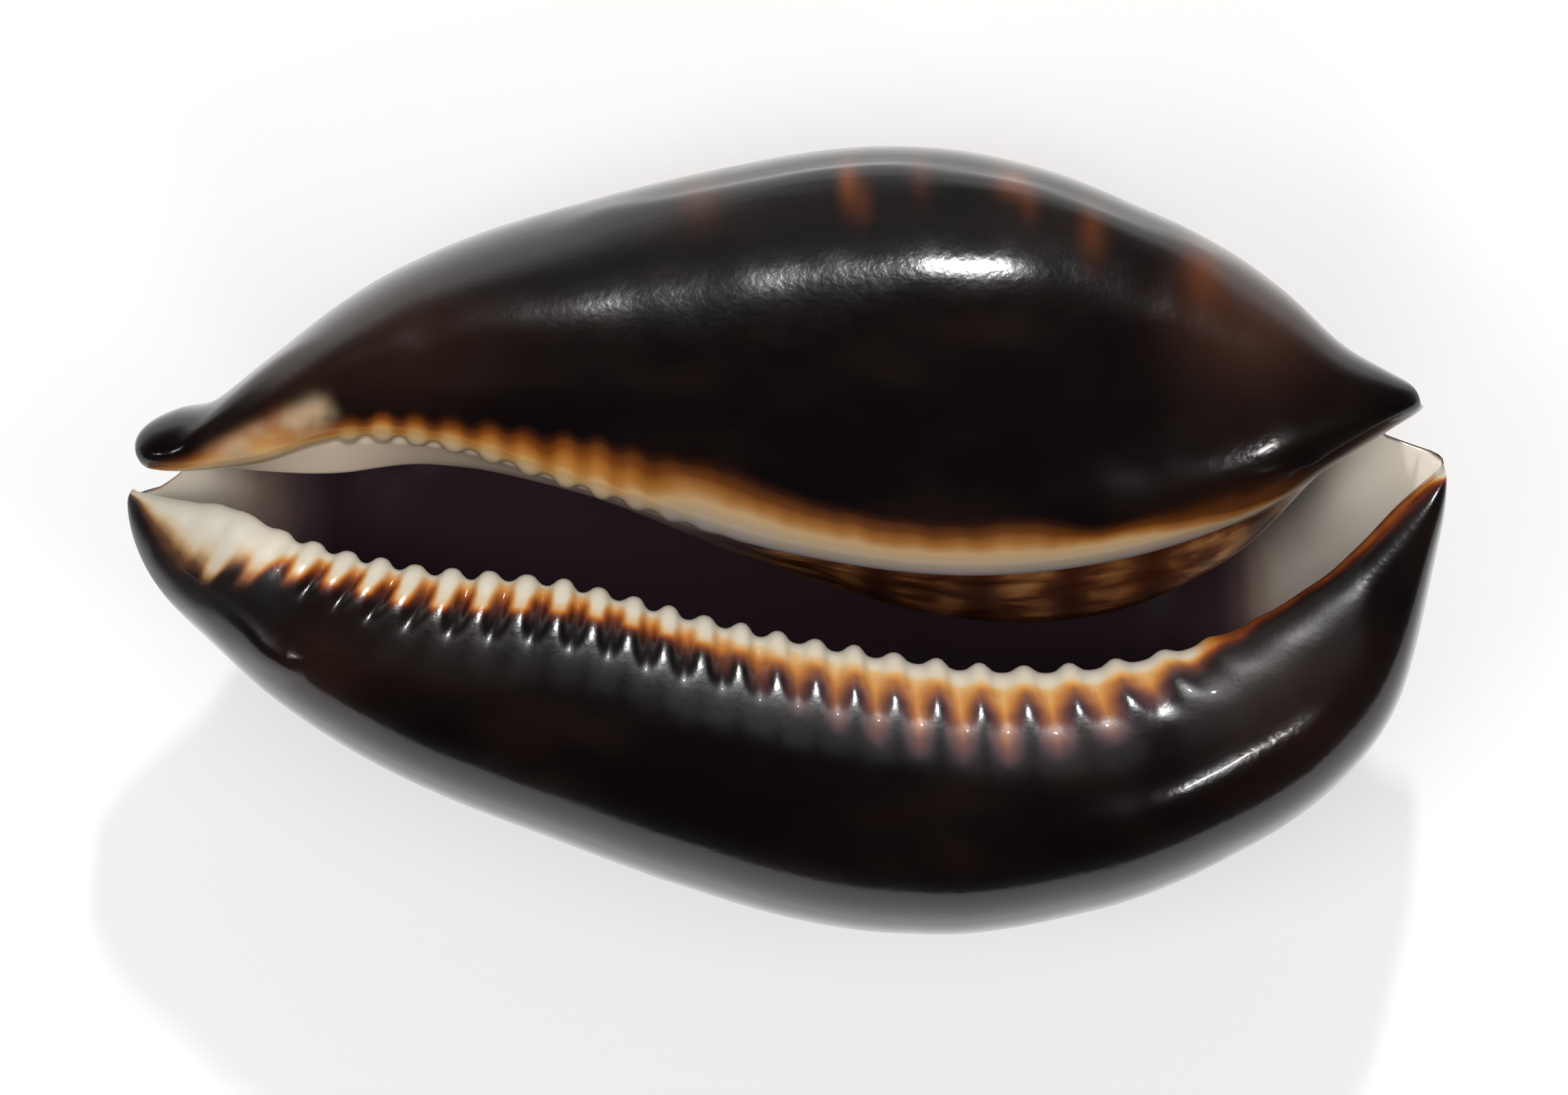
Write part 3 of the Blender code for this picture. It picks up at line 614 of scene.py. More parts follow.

# %% [markdown]
# The inner lip has four bands: a lilac-grey edge, cream, tan and rust. The edge is the lip's own pale
# lilac darkened with painted shade, where the lip rolls in away from the light. The bands are widest
# a little in front of the middle and close up towards both canals. At the front a cream streak leaves
# the lip and runs out over the base. Below the lip lies the pale shelf at the front and the mottled
# previous whorl behind it.

# %% Bands of the inner lip
# the lilac band is the rolled-in edge, partly painted shade
INNER_BANDS = (    # x; where lilac, cream, tan and rust end
    (-41.0, 0.0, 0.05, 0.2, 0.7), (-38.5, 0.0, 0.1, 0.4, 1.0), (-37.0, 0.0, 0.2, 0.7, 1.4),
    (-35.5, 0.1, 0.6, 1.3, 2.2), (-33.0, 0.1, 1.0, 2.2, 3.3), (-31.0, 0.1, 0.7, 2.2, 3.8),
    (-29.0, 0.1, 0.4, 1.2, 2.4), (-27.0, 0.1, 0.5, 1.0, 1.8),
    (-24.0, 0.1, 0.6, 1.2, 2.0), (-20.0, 0.2, 0.7, 1.4, 2.3), (-16.0, 0.2, 0.8, 1.9, 3.0),
    (-12.0, 0.3, 1.0, 2.6, 3.8), (-8.0, 0.6, 1.4, 3.0, 4.3), (-4.0, 0.9, 2.0, 3.6, 5.0),
    (0.0, 0.9, 1.8, 3.1, 4.3), (5.0, 0.9, 1.7, 2.8, 3.8), (10.0, 0.8, 1.6, 2.7, 3.8),
    (14.0, 0.7, 1.6, 2.8, 3.9), (16.5, 0.7, 1.5, 2.6, 3.6), (18.5, 0.6, 1.4, 2.0, 2.8),
    (22.0, 0.6, 1.3, 1.9, 2.8), (25.0, 0.4, 0.8, 1.5, 3.2), (28.0, 0.25, 0.4, 0.9, 3.3),
    (31.0, 0.15, 0.25, 0.5, 2.4), (33.0, 0.05, 0.1, 0.3, 1.4), (36.0, 0.0, 0.05, 0.1, 0.6),
    (41.0, 0.0, 0.1, 0.2, 0.5),
)
STREAK = ((-37.4, 4.9), (-34.5, 5.6), (-32.4, 6.6), (-30.7, 7.4), (-29.0, 8.3), (-27.2, 8.9))
STREAK_WIDTH = 1.1
SHELF_SHOWS = ((-41, 1.0), (-14, 1.0), (-8, 0.7), (-3, 0.0), (41, 0.0))
WHORL_SHOWS = ((-41, 0.0), (-9, 0.0), (-4, 0.8), (0, 1.0), (30, 1.0), (33, 0.3), (35, 0.0), (41, 0.0))
# 1 where the canals show their own cream, 0 deep inside, where the colour is painted shade
CANAL_CREAM_VS_PAINTED_SHADE = ((-41, 1.0), (-37.5, 0.95), (-35.4, 0.72), (-33.7, 0.42), (-32, 0.15), (-30, 0.0),
              (26, 0.0), (28.8, 0.06), (30.2, 0.18), (31.6, 0.48), (33.2, 0.86), (34.8, 1.0), (41, 1.0))
WHORL_BLOTCHES = ((5.6, 1.3), (12.0, 1.6), (17.7, 1.5), (22.8, 1.7), (29.5, 1.2))    # x, half width
MARGIN_SPOTS = (    # x, y, half width along x, half width across, strength
    (-5.4, 21.9, 1.2, 1.5, 0.22), (3.8, 22.8, 0.6, 1.5, 0.5), (4.7, 21.4, 0.6, 1.2, 0.18),
    (8.3, 23.2, 0.6, 1.4, 0.2), (14.0, 22.6, 1.0, 0.9, 0.75), (15.0, 21.4, 0.6, 1.1, 0.22),
    (18.9, 19.8, 0.8, 1.9, 0.25), (25.9, 17.6, 1.3, 2.2, 0.32),
)
THIN_PLACES = (    # where the dark glaze is thinner and browner: x, y, reach, strength
    (29.0, 14.5, 4.5, 0.9), (-24.0, 13.5, 5.0, 0.35), (-31.0, 11.0, 3.0, 0.3),
    (-29.0, -7.5, 3.0, 0.3), (31.0, -9.0, 6.0, 0.2),
)
SPOTTED_FROM, SPOTTED_TO, SPOTTED_OVER = 0.24, 0.60, 0.09    # the stages where the back is spotted
INNER_TOOTH_TINT = 0.4    # how much further the bands reach on a tooth, for each mm of its height
LEAST_END = 0.02


def inner_tone(x, over):
    """The tone of the inner lip at x, this far out from its edge as seen from above."""
    toothed = INNER_TOOTH_TINT * steady(INNER_TOOTH_HEIGHT, x) * tooth_wave(x, 0)
    ends = [read_table(INNER_BANDS, 1 + band, x) + toothed for band in range(4)]
    return band_tone(over, [np.maximum(end, LEAST_END) for end in ends])


def over_places(x, y, places):
    """1 at the middle of each listed place, falling away round it."""
    return np.clip(sum(strength * hump(np.hypot((x - px) / reach_x, (y - py) / reach_y))
                       for px, py, reach_x, reach_y, strength in places), 0, 1)


print("the inner lip's rust ends", INNER_BANDS[13][4], "mm out at", INNER_BANDS[13][0], "mm")

# %% [markdown]
# Now each vertex gets its numbers. Three of them are tones and one counts the teeth. The others are
# masks from 0 to 1, which say how much of a colour or of the less polished finish shows there. They
# rise and fall along x, round the sheet by its stage, or outwards from a lip. The inner skin takes
# only the deep inside's colour, painted shade that turns cream at the canals, so nearly all its
# numbers are 0.

# %% Numbers on the mesh
OUTER_LIP_STAGE = 0.3                  # before this stage the sheet is the outer lip
LIPS_APART = 0.5                       # and behind this one the inner lip
LOBES_FROM, LOBES_OVER = -31.5, 4.0    # forward of here the outer lip's cream is broad lobes
AMBER_FROM, AMBER_OVER = -8, 14        # over this stretch the gaps turn from rust to amber
AMBER_TO, AMBER_FADE = 23, 4
FRONT_TO, FRONT_FADE = -14, 9          # the inner lip's front is more orange than the rest
SIDE_FROM, SIDE_OVER = 0.34, 0.16      # the stages where one lip's colours give way to the other's
SHELF_TO, SHELF_FADE = 0.875, 0.02     # the stage where the pale shelf ends
PAST_EDGE = 0.5                        # this far in from the inner lip's edge its colours have ended
PAST_OUTER_EDGE = 1.6                  # and the same for the outer lip's, on the inner skin
MARGIN_STAGES = (0.57, 0.75)           # the part of the sheet that the margin's orange spots are on
PLAIN_RIDGE = 0.12                     # this far round from the ridge no glaze is thinner


def lip_numbers(x, y, stage):
    """The outer lip's numbers: its tones, its count of teeth, and where it is less polished."""
    over = along(OUTER_LIP_Y, x) - y
    on_lip = stage < OUTER_LIP_STAGE
    on_tooth, in_gap, count = outer_tones(x, over)
    matt = rising(over, MATT_FROM, MATT_FADE) * (1 - rising(over, MATT_TO, MATT_FADE))
    return {
        "tone_on_tooth": np.where(on_lip, on_tooth, 1.0),
        "tone_in_gap": np.where(on_lip, in_gap, 1.0),
        "tooth_count": count,
        "flames": rising(x, FLAMES_FROM, FLAMES_OVER),
        "matt_gaps": steady(MATT_GAPS, x) * matt * on_lip,
        "matt": steady(MATT_LIP, x) * (1 - rising(over, MATT_LIP_TO, MATT_LIP_FADE)) * on_lip,
        "lobes": rising(-x, -LOBES_FROM, LOBES_OVER),
        "amber": rising(x, AMBER_FROM, AMBER_OVER) * (1 - rising(x, AMBER_TO, AMBER_FADE)),
    }


def inner_numbers(x, y, stage):
    """The numbers of the inner lip, the mouth behind it, the margin and the back."""
    past_edge = ease(FROM_EDGE / PAST_EDGE)
    shelf = steady(SHELF_SHOWS, x) * (1 - rising(stage, SHELF_TO, SHELF_FADE))
    whorl = steady(WHORL_SHOWS, x)
    on_base = (stage > INNER_BASE_STAGE) * (stage < INNER_EDGE_STAGE + 0.01)
    on_margin = (stage > MARGIN_STAGES[0]) * (stage < MARGIN_STAGES[1])
    off_ridge = np.abs(stage - RIDGE_STAGE) > PLAIN_RIDGE
    return {
        "inner_tone": np.where(stage > LIPS_APART, inner_tone(x, y - along(INNER_LIP_Y, x)), 1.0),
        "side": rising(stage, SIDE_FROM, SIDE_OVER),
        "front": 1 - rising(x, FRONT_TO, FRONT_FADE),
        "streak": crease(x, y, STREAK, STREAK_WIDTH) * on_base,
        "shelf": past_edge * shelf,
        "whorl": past_edge * whorl,
        # where the deep inside shows, in its colour of painted shade
        "inside": past_edge * np.clip(1 - shelf - whorl, 0, 1),
        "blotch": np.clip(sum(hump((x - at) / half) for at, half in WHORL_BLOTCHES), 0, 1),
        "margin_spot": over_places(x, y, MARGIN_SPOTS) * on_margin,
        "thin": over_places(x, y, [(px, py, r, r, s) for px, py, r, s in THIN_PLACES]) * off_ridge,
        "canal": steady(CANAL_CREAM_VS_PAINTED_SHADE, x),
        "spotted": rising(stage, SPOTTED_FROM, SPOTTED_OVER) * rising(-stage, -SPOTTED_TO, SPOTTED_OVER),
    }


X_OF, Y_OF = SHEET[:, :, 0], SHEET[:, :, 1]
STAGE_OF = STAGE[:, None] + 0 * X_OF
NUMBERS_OUT = {**lip_numbers(X_OF, Y_OF, STAGE_OF), **inner_numbers(X_OF, Y_OF, STAGE_OF)}
NUMBERS_IN = {key: np.zeros(X_OF.shape) for key in NUMBERS_OUT}
# the inner skin shows only the deep inside's colour: painted shade that turns cream at the canals
NUMBERS_IN["inside"], NUMBERS_IN["canal"] = ease(ARC / PAST_OUTER_EDGE), NUMBERS_OUT["canal"]
print("numbers on each vertex:", ", ".join(NUMBERS_OUT))

# %% [markdown]
# ## One closed mesh
#
# The outer skin keeps every point. The inner skin is mostly in the dark, so it uses every second
# one, and its outermost cells take in the rim points between, which closes the sheet with no
# crack. The flat spot that the shell rests on is made by not letting any point go below the floor.

# %% Mesh
REST_FLAT = 0.6            # how deep the flat spot is
NAME = "glazed_shell_of_cowrie"


def placed(name, data):
    """A new object in the scene that shows the given mesh, light or camera."""
    thing = bpy.data.objects.new(name, data)
    bpy.context.scene.collection.objects.link(thing)
    return thing


def outer_faces(grid):
    """Quads over the outer skin, facing out."""
    a, b, d, e = grid[:-1, :-1], grid[:-1, 1:], grid[1:, 1:], grid[1:, :-1]
    return np.stack([a, e, d, b], axis=2).reshape(-1, 4).tolist()


def inner_faces(rim, coarse):
    """Cells over the inner skin, facing in, with the rim's points between their corners."""
    rows, columns = coarse.shape
    faces = []
    for r in range(rows - 1):
        for c in range(columns - 1):
            loop = [coarse[r, c]]
            loop += [rim[0, 2 * c + 1]] if r == 0 else []
            loop += [coarse[r, c + 1]]
            loop += [rim[2 * r + 1, -1]] if c == columns - 2 else []
            loop += [coarse[r + 1, c + 1]]
            loop += [rim[-1, 2 * c + 1]] if r == rows - 2 else []
            loop += [coarse[r + 1, c]]
            loop += [rim[2 * r + 1, 0]] if c == 0 else []
            faces.append([int(v) for v in loop])
    return faces


def lying(points):
    """The points in metres, resting on the floor and inside the solid model's box."""
    low, high = points.min(axis=0), points.max(axis=0)
    points = (points - [(low[0] + high[0]) / 2, (low[1] + high[1]) / 2, low[2] + REST_FLAT]) * MM
    points[:, 2] = np.maximum(points[:, 2], 0)
    size = points.max(axis=0) - points.min(axis=0)
    room = np.subtract(CAD_BOX[1], CAD_BOX[0])
    return points * np.minimum(room / size, 1)


rows, columns = OUTER.shape[:2]
own = np.s_[2:-1:2, 2:-1:2]    # the points that the inner skin doesn't share with the rim
rim = np.arange(rows * columns).reshape(rows, columns)
coarse = rim[::2, ::2].copy()
coarse[1:-1, 1:-1] = rows * columns + np.arange(rim[own].size).reshape(rim[own].shape)
points = lying(np.concatenate([OUTER.reshape(-1, 3), INNER[own].reshape(-1, 3)]))
data = bpy.data.meshes.new(NAME)
data.from_pydata(points.tolist(), [], outer_faces(rim) + inner_faces(rim, coarse))
for key, outside in NUMBERS_OUT.items():
    layer = data.attributes.new(key, "FLOAT", "POINT")
    values = np.concatenate([outside.ravel(), NUMBERS_IN[key][own].ravel()])
    layer.data.foreach_set("value", values.astype(np.float32))
layer = data.attributes.new("place_mm", "FLOAT_VECTOR", "POINT")
places = np.concatenate([SHEET.reshape(-1, 3), SHEET[own].reshape(-1, 3)])
layer.data.foreach_set("vector", places.astype(np.float32).ravel())
data.shade_smooth()
data.update()
shell = placed(NAME, data)
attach(shell, "root")
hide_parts("cowrie_shell")
triangles = sum(len(p.vertices) - 2 for p in data.polygons)
print("the shell has", len(data.vertices), "vertices and", triangles, "triangles")

# %% [markdown]
# ## Helpers for nodes
#
# A finish can be wired by hand in the shader editor. Written as code, each node takes three or
# four lines, so short helpers keep the finish readable. Nearly all of them add one node, give its
# inputs values or links, and hand back its output.

# %% Node helpers


def linear(value):
    """A colour, given as RRGGBB or as one level of grey, as linear red, green, blue and alpha."""
    if not isinstance(value, str):
        return (value,) * 3 + (1.0,)
    parts = [int(value[i:i + 2], 16) / 255 for i in (0, 2, 4)]
    return tuple(c / 12.92 if c <= 0.04045 else ((c + 0.055) / 1.055) ** 2.4 for c in parts) + (1.0,)


def add_node(tree, kind, settings=None, **values):
    """A node with its settings. Its inputs, by name or as i and a number, get values or links."""
    node = tree.nodes.new(kind)
    for key, value in (settings or {}).items():
        setattr(node, key, value)
    for key, value in values.items():
        numbered = key[0] == "i" and key[1:].isdigit()
        socket = node.inputs[int(key[1:]) if numbered else key.replace("_", " ")]
        if isinstance(value, bpy.types.NodeSocket):
            tree.links.new(value, socket)
        else:
            socket.default_value = value
    return node


def arithmetic(tree, operation, *inputs):
    """The result of one Math node."""
    numbered = {f"i{i}": value for i, value in enumerate(inputs)}
    return add_node(tree, "ShaderNodeMath", {"operation": operation}, **numbered).outputs[0]


def ranged(tree, value, low, high, to_low=0.0, to_high=1.0):
    """A value eased from one range to another."""
    return add_node(tree, "ShaderNodeMapRange", {"interpolation_type": "SMOOTHSTEP"}, Value=value,
                    From_Min=low, From_Max=high, To_Min=to_low, To_Max=to_high).outputs["Result"]


def noise(tree, place, size, detail, **more):
    """The height of a noise at a place."""
    node = add_node(tree, "ShaderNodeTexNoise", Vector=place, Scale=size, Detail=detail, **more)
    return node.outputs["Fac"]


def number(tree, key):
    """One of the numbers on the mesh."""
    return add_node(tree, "ShaderNodeAttribute", {"attribute_name": key}).outputs["Fac"]


def ramp(tree, value, stops):
    """A value turned into a colour through a list of stops."""
    node = add_node(tree, "ShaderNodeValToRGB", Fac=value)
    elements = node.color_ramp.elements
    while len(elements) > 1:
        elements.remove(elements[-1])
    elements[0].position, elements[0].color = stops[0][0], linear(stops[0][1])
    for place, shade in stops[1:]:
        elements.new(place).color = linear(shade)
    return node.outputs["Color"]


def mixed(tree, share, first, second):
    """Two colours mixed: the second one's share is given."""
    first, second = (linear(shade) if isinstance(shade, str) else shade for shade in (first, second))
    return add_node(tree, "ShaderNodeMix", {"data_type": "RGBA"}, i0=share, i6=first, i7=second).outputs[2]


def blended(tree, share, first, second):
    """Two values mixed: the second one's share is given."""
    return add_node(tree, "ShaderNodeMix", {"data_type": "FLOAT"}, i0=share, i2=first, i3=second).outputs[0]


def grouped(tree, group, **values):
    """A node group placed in a tree, with its own values."""
    return add_node(tree, "ShaderNodeGroup", {"node_tree": group}, **values).outputs[0]


def stretched(tree, vector, scale):
    """Coordinates multiplied along each axis: below 1, what is drawn there gets longer."""
    return add_node(tree, "ShaderNodeMapping", {"vector_type": "POINT"}, Vector=vector,
                    Scale=scale).outputs[0]


print("the grey 808080 is", round(linear("808080")[0], 3), "in linear light")

# %% [markdown]
# ## Two small node groups
#
# The finish needs the same two effects several times: a band whose edge wanders, and soft
# blotches. Each becomes a node group with named inputs and one output, so that every use can have
# its own size and amount.

# %% Node groups


def group_with(name, inputs, output):
    """A new node group with the inputs given as (name, kind, value), and one float output."""
    tree = bpy.data.node_groups.new(name, "ShaderNodeTree")
    for key, kind, default in inputs:
        socket = tree.interface.new_socket(name=key, in_out="INPUT", socket_type="NodeSocket" + kind)
        if default is not None:
            socket.default_value = default
    tree.interface.new_socket(name=output, in_out="OUTPUT", socket_type="NodeSocketFloat")
    return tree, tree.nodes.new("NodeGroupInput").outputs, tree.nodes.new("NodeGroupOutput").inputs[output]


def wandering_band():
    """A tone whose band edges wander with noise, while its two ends stay where they are."""
    tree, given, made = group_with("wandering_band", (
        ("Tone", "Float", 0.5), ("Place", "Vector", None), ("Size", "Float", 1.0), ("Amount", "Float", 0.2)),
        "Tone")
    centred = arithmetic(tree, "SUBTRACT", noise(tree, given["Place"], given["Size"], 1.0), 0.5)
    tone = given["Tone"]
    inside = arithmetic(tree, "MULTIPLY", tone, arithmetic(tree, "SUBTRACT", 1.0, tone))
    window = arithmetic(tree, "MULTIPLY", inside, 4.0)
    shift = arithmetic(tree, "MULTIPLY", arithmetic(tree, "MULTIPLY", centred, given["Amount"]), window)
    tree.links.new(arithmetic(tree, "ADD", tone, shift), made)
    return tree


def soft_blotches():
    """A mask of soft blotches, from the part of a noise between two heights."""
    tree, given, made = group_with("soft_blotches", (
        ("Place", "Vector", None), ("Size", "Float", 1.0), ("Low", "Float", 0.45), ("High", "Float", 0.6)),
        "Mask")
    height = noise(tree, given["Place"], given["Size"], 2.0)
    tree.links.new(ranged(tree, height, given["Low"], given["High"]), made)
    return tree


WANDERING, BLOTCHES = wandering_band(), soft_blotches()
print("node groups:", ", ".join(g.name for g in bpy.data.node_groups))

# %% [markdown]
# ## The glaze
#
# A cowrie is polished by the living animal, so the finish is a hard clear gloss over pigment that
# lies in layers. The base is a brown so dark that it reads as black where it is thick, and shows
# red-brown where light gets into it. Each lip's tone runs through ramps of its own, from the pale
# edge to the black base: the outer lip has one for its front lobes, one for its middle and one for
# the amber part behind, and the inner lip has one for its front and one for the rest.

# %% Colours of the glaze
OUTER_RAMP = ((0.0, "CEC8BC"), (0.24, "CDC1AC"), (0.34, "C8A578"), (0.46, "B8742F"), (0.58, "8E4A1B"),
              (0.72, "502010"), (0.86, "24110D"), (1.0, "0A0607"))
AMBER_RAMP = ((0.0, "CFC8BE"), (0.25, "CDBFA7"), (0.36, "D0A468"), (0.5, "C28444"), (0.64, "9C6238"),
              (0.8, "623E38"), (0.92, "36242A"), (1.0, "0A0607"))
LOBE_RAMP = ((0.0, "BCB6AA"), (0.24, "BAB2A2"), (0.4, "B29C7C"), (0.55, "94714A"), (0.7, "54351F"),
             (0.85, "20120D"), (1.0, "0A0607"))
STRIPE_HALF_WIDTH, STRIPE_EDGE = 0.23, 0.16    # of a tooth's pale stripe, in tooth spacings
# the first two stops, the grey-lilac edge, are partly painted shade where the lip rolls in
INNER_RAMP_SHADED_EDGE = ((0.0, "ACA2A0"), (0.08, "A59A94"), (0.2, "A89882"), (0.42, "B4956C"), (0.56, "946230"),
              (0.70, "5C310F"), (0.85, "28130A"), (1.0, "0A0608"))
INNER_FRONT_RAMP = ((0.0, "DCC4A4"), (0.2, "DCBE92"), (0.42, "CC9C5C"), (0.56, "AC7030"),
                    (0.70, "743E14"), (0.85, "32170A"), (1.0, "0A0608"))
WHORL_RAMP = ((0.0, "2E130A"), (0.3, "5C331C"), (0.6, "8E5C34"), (0.85, "AE7C4C"), (1.0, "C09468"))
# the dark purple stops are painted shade of the deep inside; the pale ones are the canals' own cream
CANAL_AND_SHADED_INSIDE_RAMP = ((0.0, "42323A"), (0.12, "5C4A50"), (0.35, "9A8276"), (0.65, "D8C6B6"), (1.0, "F6EEE0"))
BLACK_BROWN, WARM_BROWN, THIN_BROWN = "0A0607", "170F0D", "3C251C"
STREAK_CREAM, SHELF_CREAM = "AE9474", "F4DEC8"
SPOT_TAN, SPOT_ORANGE, BACK_CHOCOLATE, MARGIN_ORANGE = "B4793C", "8E4418", "26120B", "904C22"

print("the darkest base colour is", tuple(round(c, 4) for c in linear(BLACK_BROWN)[:3]))

# %% [markdown]
# The colours are laid over each other from the outside in: the two lips and the base between them,
# the spotted back, and then the mouth. The base is never one flat black: large soft blotches are
# warmer, and the glaze is thinner and browner in a few places. The back has irregular tan spots
# with orange rims, from a cell pattern in space, so that they aren't drawn out on the steep sides.

# %% Colour of lips, base and back
GROUND_FROM_OUTER, GROUND_FROM_INNER = 0.9, 0.85    # from this tone on the base's own colour comes in
STREAK_BREAKS, STREAK_LEAST = 0.8, 0.12    # how much of the cream streak comes and goes, and stays
SPOT_SCALE, SPOT_BEND = 0.2, 3.0       # one over a spot's size in mm, and how far noise bends it
SPOT_RIM, SPOT_CORE = (0.56, 0.44), (0.50, 0.34)    # where rim and core begin, and are full
BACK_EDGE = (0.35, 0.65)               # the wandering border of the spotted back


def off_the_teeth(tree):
    """0 on the middle of a tooth and 0.5 half way to the next."""
    turned = arithmetic(tree, "FRACT", arithmetic(tree, "ADD", number(tree, "tooth_count"), 0.5))
    return arithmetic(tree, "ABSOLUTE", arithmetic(tree, "SUBTRACT", turned, 0.5))


def outer_lip_tone(tree):
    """The outer lip's tone: stripes on the front teeth, flames between the others."""
    off = off_the_teeth(tree)
    stripe = ranged(tree, off, STRIPE_HALF_WIDTH + STRIPE_EDGE, STRIPE_HALF_WIDTH - STRIPE_EDGE)
    peak = arithmetic(tree, "MULTIPLY_ADD", off, -2.0, 1.0)
    on_tooth = blended(tree, number(tree, "flames"), stripe, peak)
    return blended(tree, on_tooth, number(tree, "tone_in_gap"), number(tree, "tone_on_tooth"))


def outer_lip_colour(tree, sheet, ground):
    """The outer lip, and the base next to it."""
    tone = grouped(tree, WANDERING, Tone=outer_lip_tone(tree), Place=sheet, Size=0.8, Amount=0.20)
    lip = mixed(tree, number(tree, "amber"), ramp(tree, tone, OUTER_RAMP), ramp(tree, tone, AMBER_RAMP))
    lip = mixed(tree, number(tree, "lobes"), lip, ramp(tree, tone, LOBE_RAMP))
    return mixed(tree, ranged(tree, tone, GROUND_FROM_OUTER, 1.0), lip, ground)


def inner_lip_colour(tree, sheet, ground):
    """The inner lip with the cream streak that leaves it, and the base next to it."""
    tone = grouped(tree, WANDERING, Tone=number(tree, "inner_tone"), Size=0.4, Amount=0.22,
                   Place=stretched(tree, sheet, (1.0, 0.5, 0.5)))
    lip = mixed(tree, number(tree, "front"), ramp(tree, tone, INNER_RAMP_SHADED_EDGE), ramp(tree, tone, INNER_FRONT_RAMP))
    lip = mixed(tree, ranged(tree, tone, GROUND_FROM_INNER, 1.0), lip, ground)
    broken = grouped(tree, BLOTCHES, Place=sheet, Size=0.4, Low=0.25, High=0.65)
    broken = arithmetic(tree, "MULTIPLY_ADD", broken, STREAK_BREAKS, STREAK_LEAST)
    streak = arithmetic(tree, "MULTIPLY", ranged(tree, number(tree, "streak"), 0.0, 1.0), broken)
    return mixed(tree, streak, lip, STREAK_CREAM)


def back_colour(tree, sheet):
    """Tan spots with orange rims, crowded and running into each other, on chocolate brown."""
    bent = add_node(tree, "ShaderNodeTexNoise", Vector=sheet, Scale=0.35, Detail=1.0).outputs["Color"]
    moved = add_node(tree, "ShaderNodeVectorMath", {"operation": "MULTIPLY_ADD"}, i0=bent,
                     i1=(SPOT_BEND,) * 3, i2=sheet).outputs[0]
    cells = add_node(tree, "ShaderNodeTexVoronoi", {"voronoi_dimensions": "3D", "feature": "SMOOTH_F1"},
                     Vector=moved, Scale=SPOT_SCALE, Smoothness=0.25, Randomness=0.9).outputs["Distance"]
    rim, core = ranged(tree, cells, *SPOT_RIM), ranged(tree, cells, *SPOT_CORE)
    return mixed(tree, core, mixed(tree, rim, BACK_CHOCOLATE, SPOT_ORANGE), SPOT_TAN)


def body_colour(tree, sheet):
    """The two lips, the base between them, and the spotted back."""
    warm = grouped(tree, BLOTCHES, Place=stretched(tree, sheet, (0.5, 1.0, 1.0)), Size=0.16,
                   Low=0.42, High=0.72)
    ground = mixed(tree, number(tree, "thin"), mixed(tree, warm, BLACK_BROWN, WARM_BROWN), THIN_BROWN)
    body = mixed(tree, number(tree, "side"), outer_lip_colour(tree, sheet, ground),
                 inner_lip_colour(tree, sheet, ground))
    body = mixed(tree, number(tree, "margin_spot"), body, MARGIN_ORANGE)
    spotted = grouped(tree, WANDERING, Tone=number(tree, "spotted"), Place=sheet, Size=0.2, Amount=1.6)
    return mixed(tree, ranged(tree, spotted, *BACK_EDGE), body, back_colour(tree, sheet))


print("a spot on the back is about", round(1 / SPOT_SCALE), "mm across")

# %% [markdown]
# Inside the mouth, the shelf is pale cream, and the previous whorl is streaked along its length and
# crossed by dark blotches. The deep inside is painted a dull purple brown, which is painted shade
# over the shell's paler inside, and it lightens to the canals' own cream. All of it goes into one
# Principled shader. The gloss is set on the shader's own sockets, and faint smears dull it a little.
# In the least polished places, below the teeth and at both ends of the outer lip, the coat goes and
# the surface under it is rougher, which turns hard glints into a soft grey sheen.

# %% Mouth and finish
GLOSS_ROUGHNESS, SMEARS = 0.13, 0.07    # the gloss at its best, and how much duller its smears are
COAT_WEIGHT, COAT_ROUGHNESS = 0.2, 0.05
MATT_ROUGHNESS = 0.34     # how much rougher the least polished places are
MATT_ON_TEETH = 0.7       # on a tooth's middle, as a share of what it is in a gap
BLOTCH_DARKNESS, PATCH_DARKNESS = 0.85, 0.6    # how dark the whorl's blotches and its patches are
GRAIN_DEPTH = 0.0002      # in metres: a grain too fine to show in the outline


def mouth_colour(tree, sheet, body):
    """The shelf, the previous whorl and the deep inside in painted shade, laid over the body's colour."""
    lengthwise = noise(tree, stretched(tree, sheet, (0.16, 0.5, 0.4)), 1.0, 2.0, Distortion=0.6)
    patches = grouped(tree, BLOTCHES, Place=stretched(tree, sheet, (1.0, 0.6, 0.4)), Size=0.35,
                      Low=0.35, High=0.7)
    dark = arithmetic(tree, "MAXIMUM", number(tree, "blotch"),
                      arithmetic(tree, "MULTIPLY", patches, PATCH_DARKNESS))
    streaks = arithmetic(tree, "MULTIPLY", ranged(tree, lengthwise, 0.25, 0.75),
                         arithmetic(tree, "MULTIPLY_ADD", dark, -BLOTCH_DARKNESS, 1.0))
    colour = mixed(tree, number(tree, "shelf"), body, SHELF_CREAM)
    colour = mixed(tree, number(tree, "whorl"), colour, ramp(tree, streaks, WHORL_RAMP))
    # the deep inside: painted shade, turning to the canals' own cream
    return mixed(tree, number(tree, "inside"), colour, ramp(tree, number(tree, "canal"), CANAL_AND_SHADED_INSIDE_RAMP))


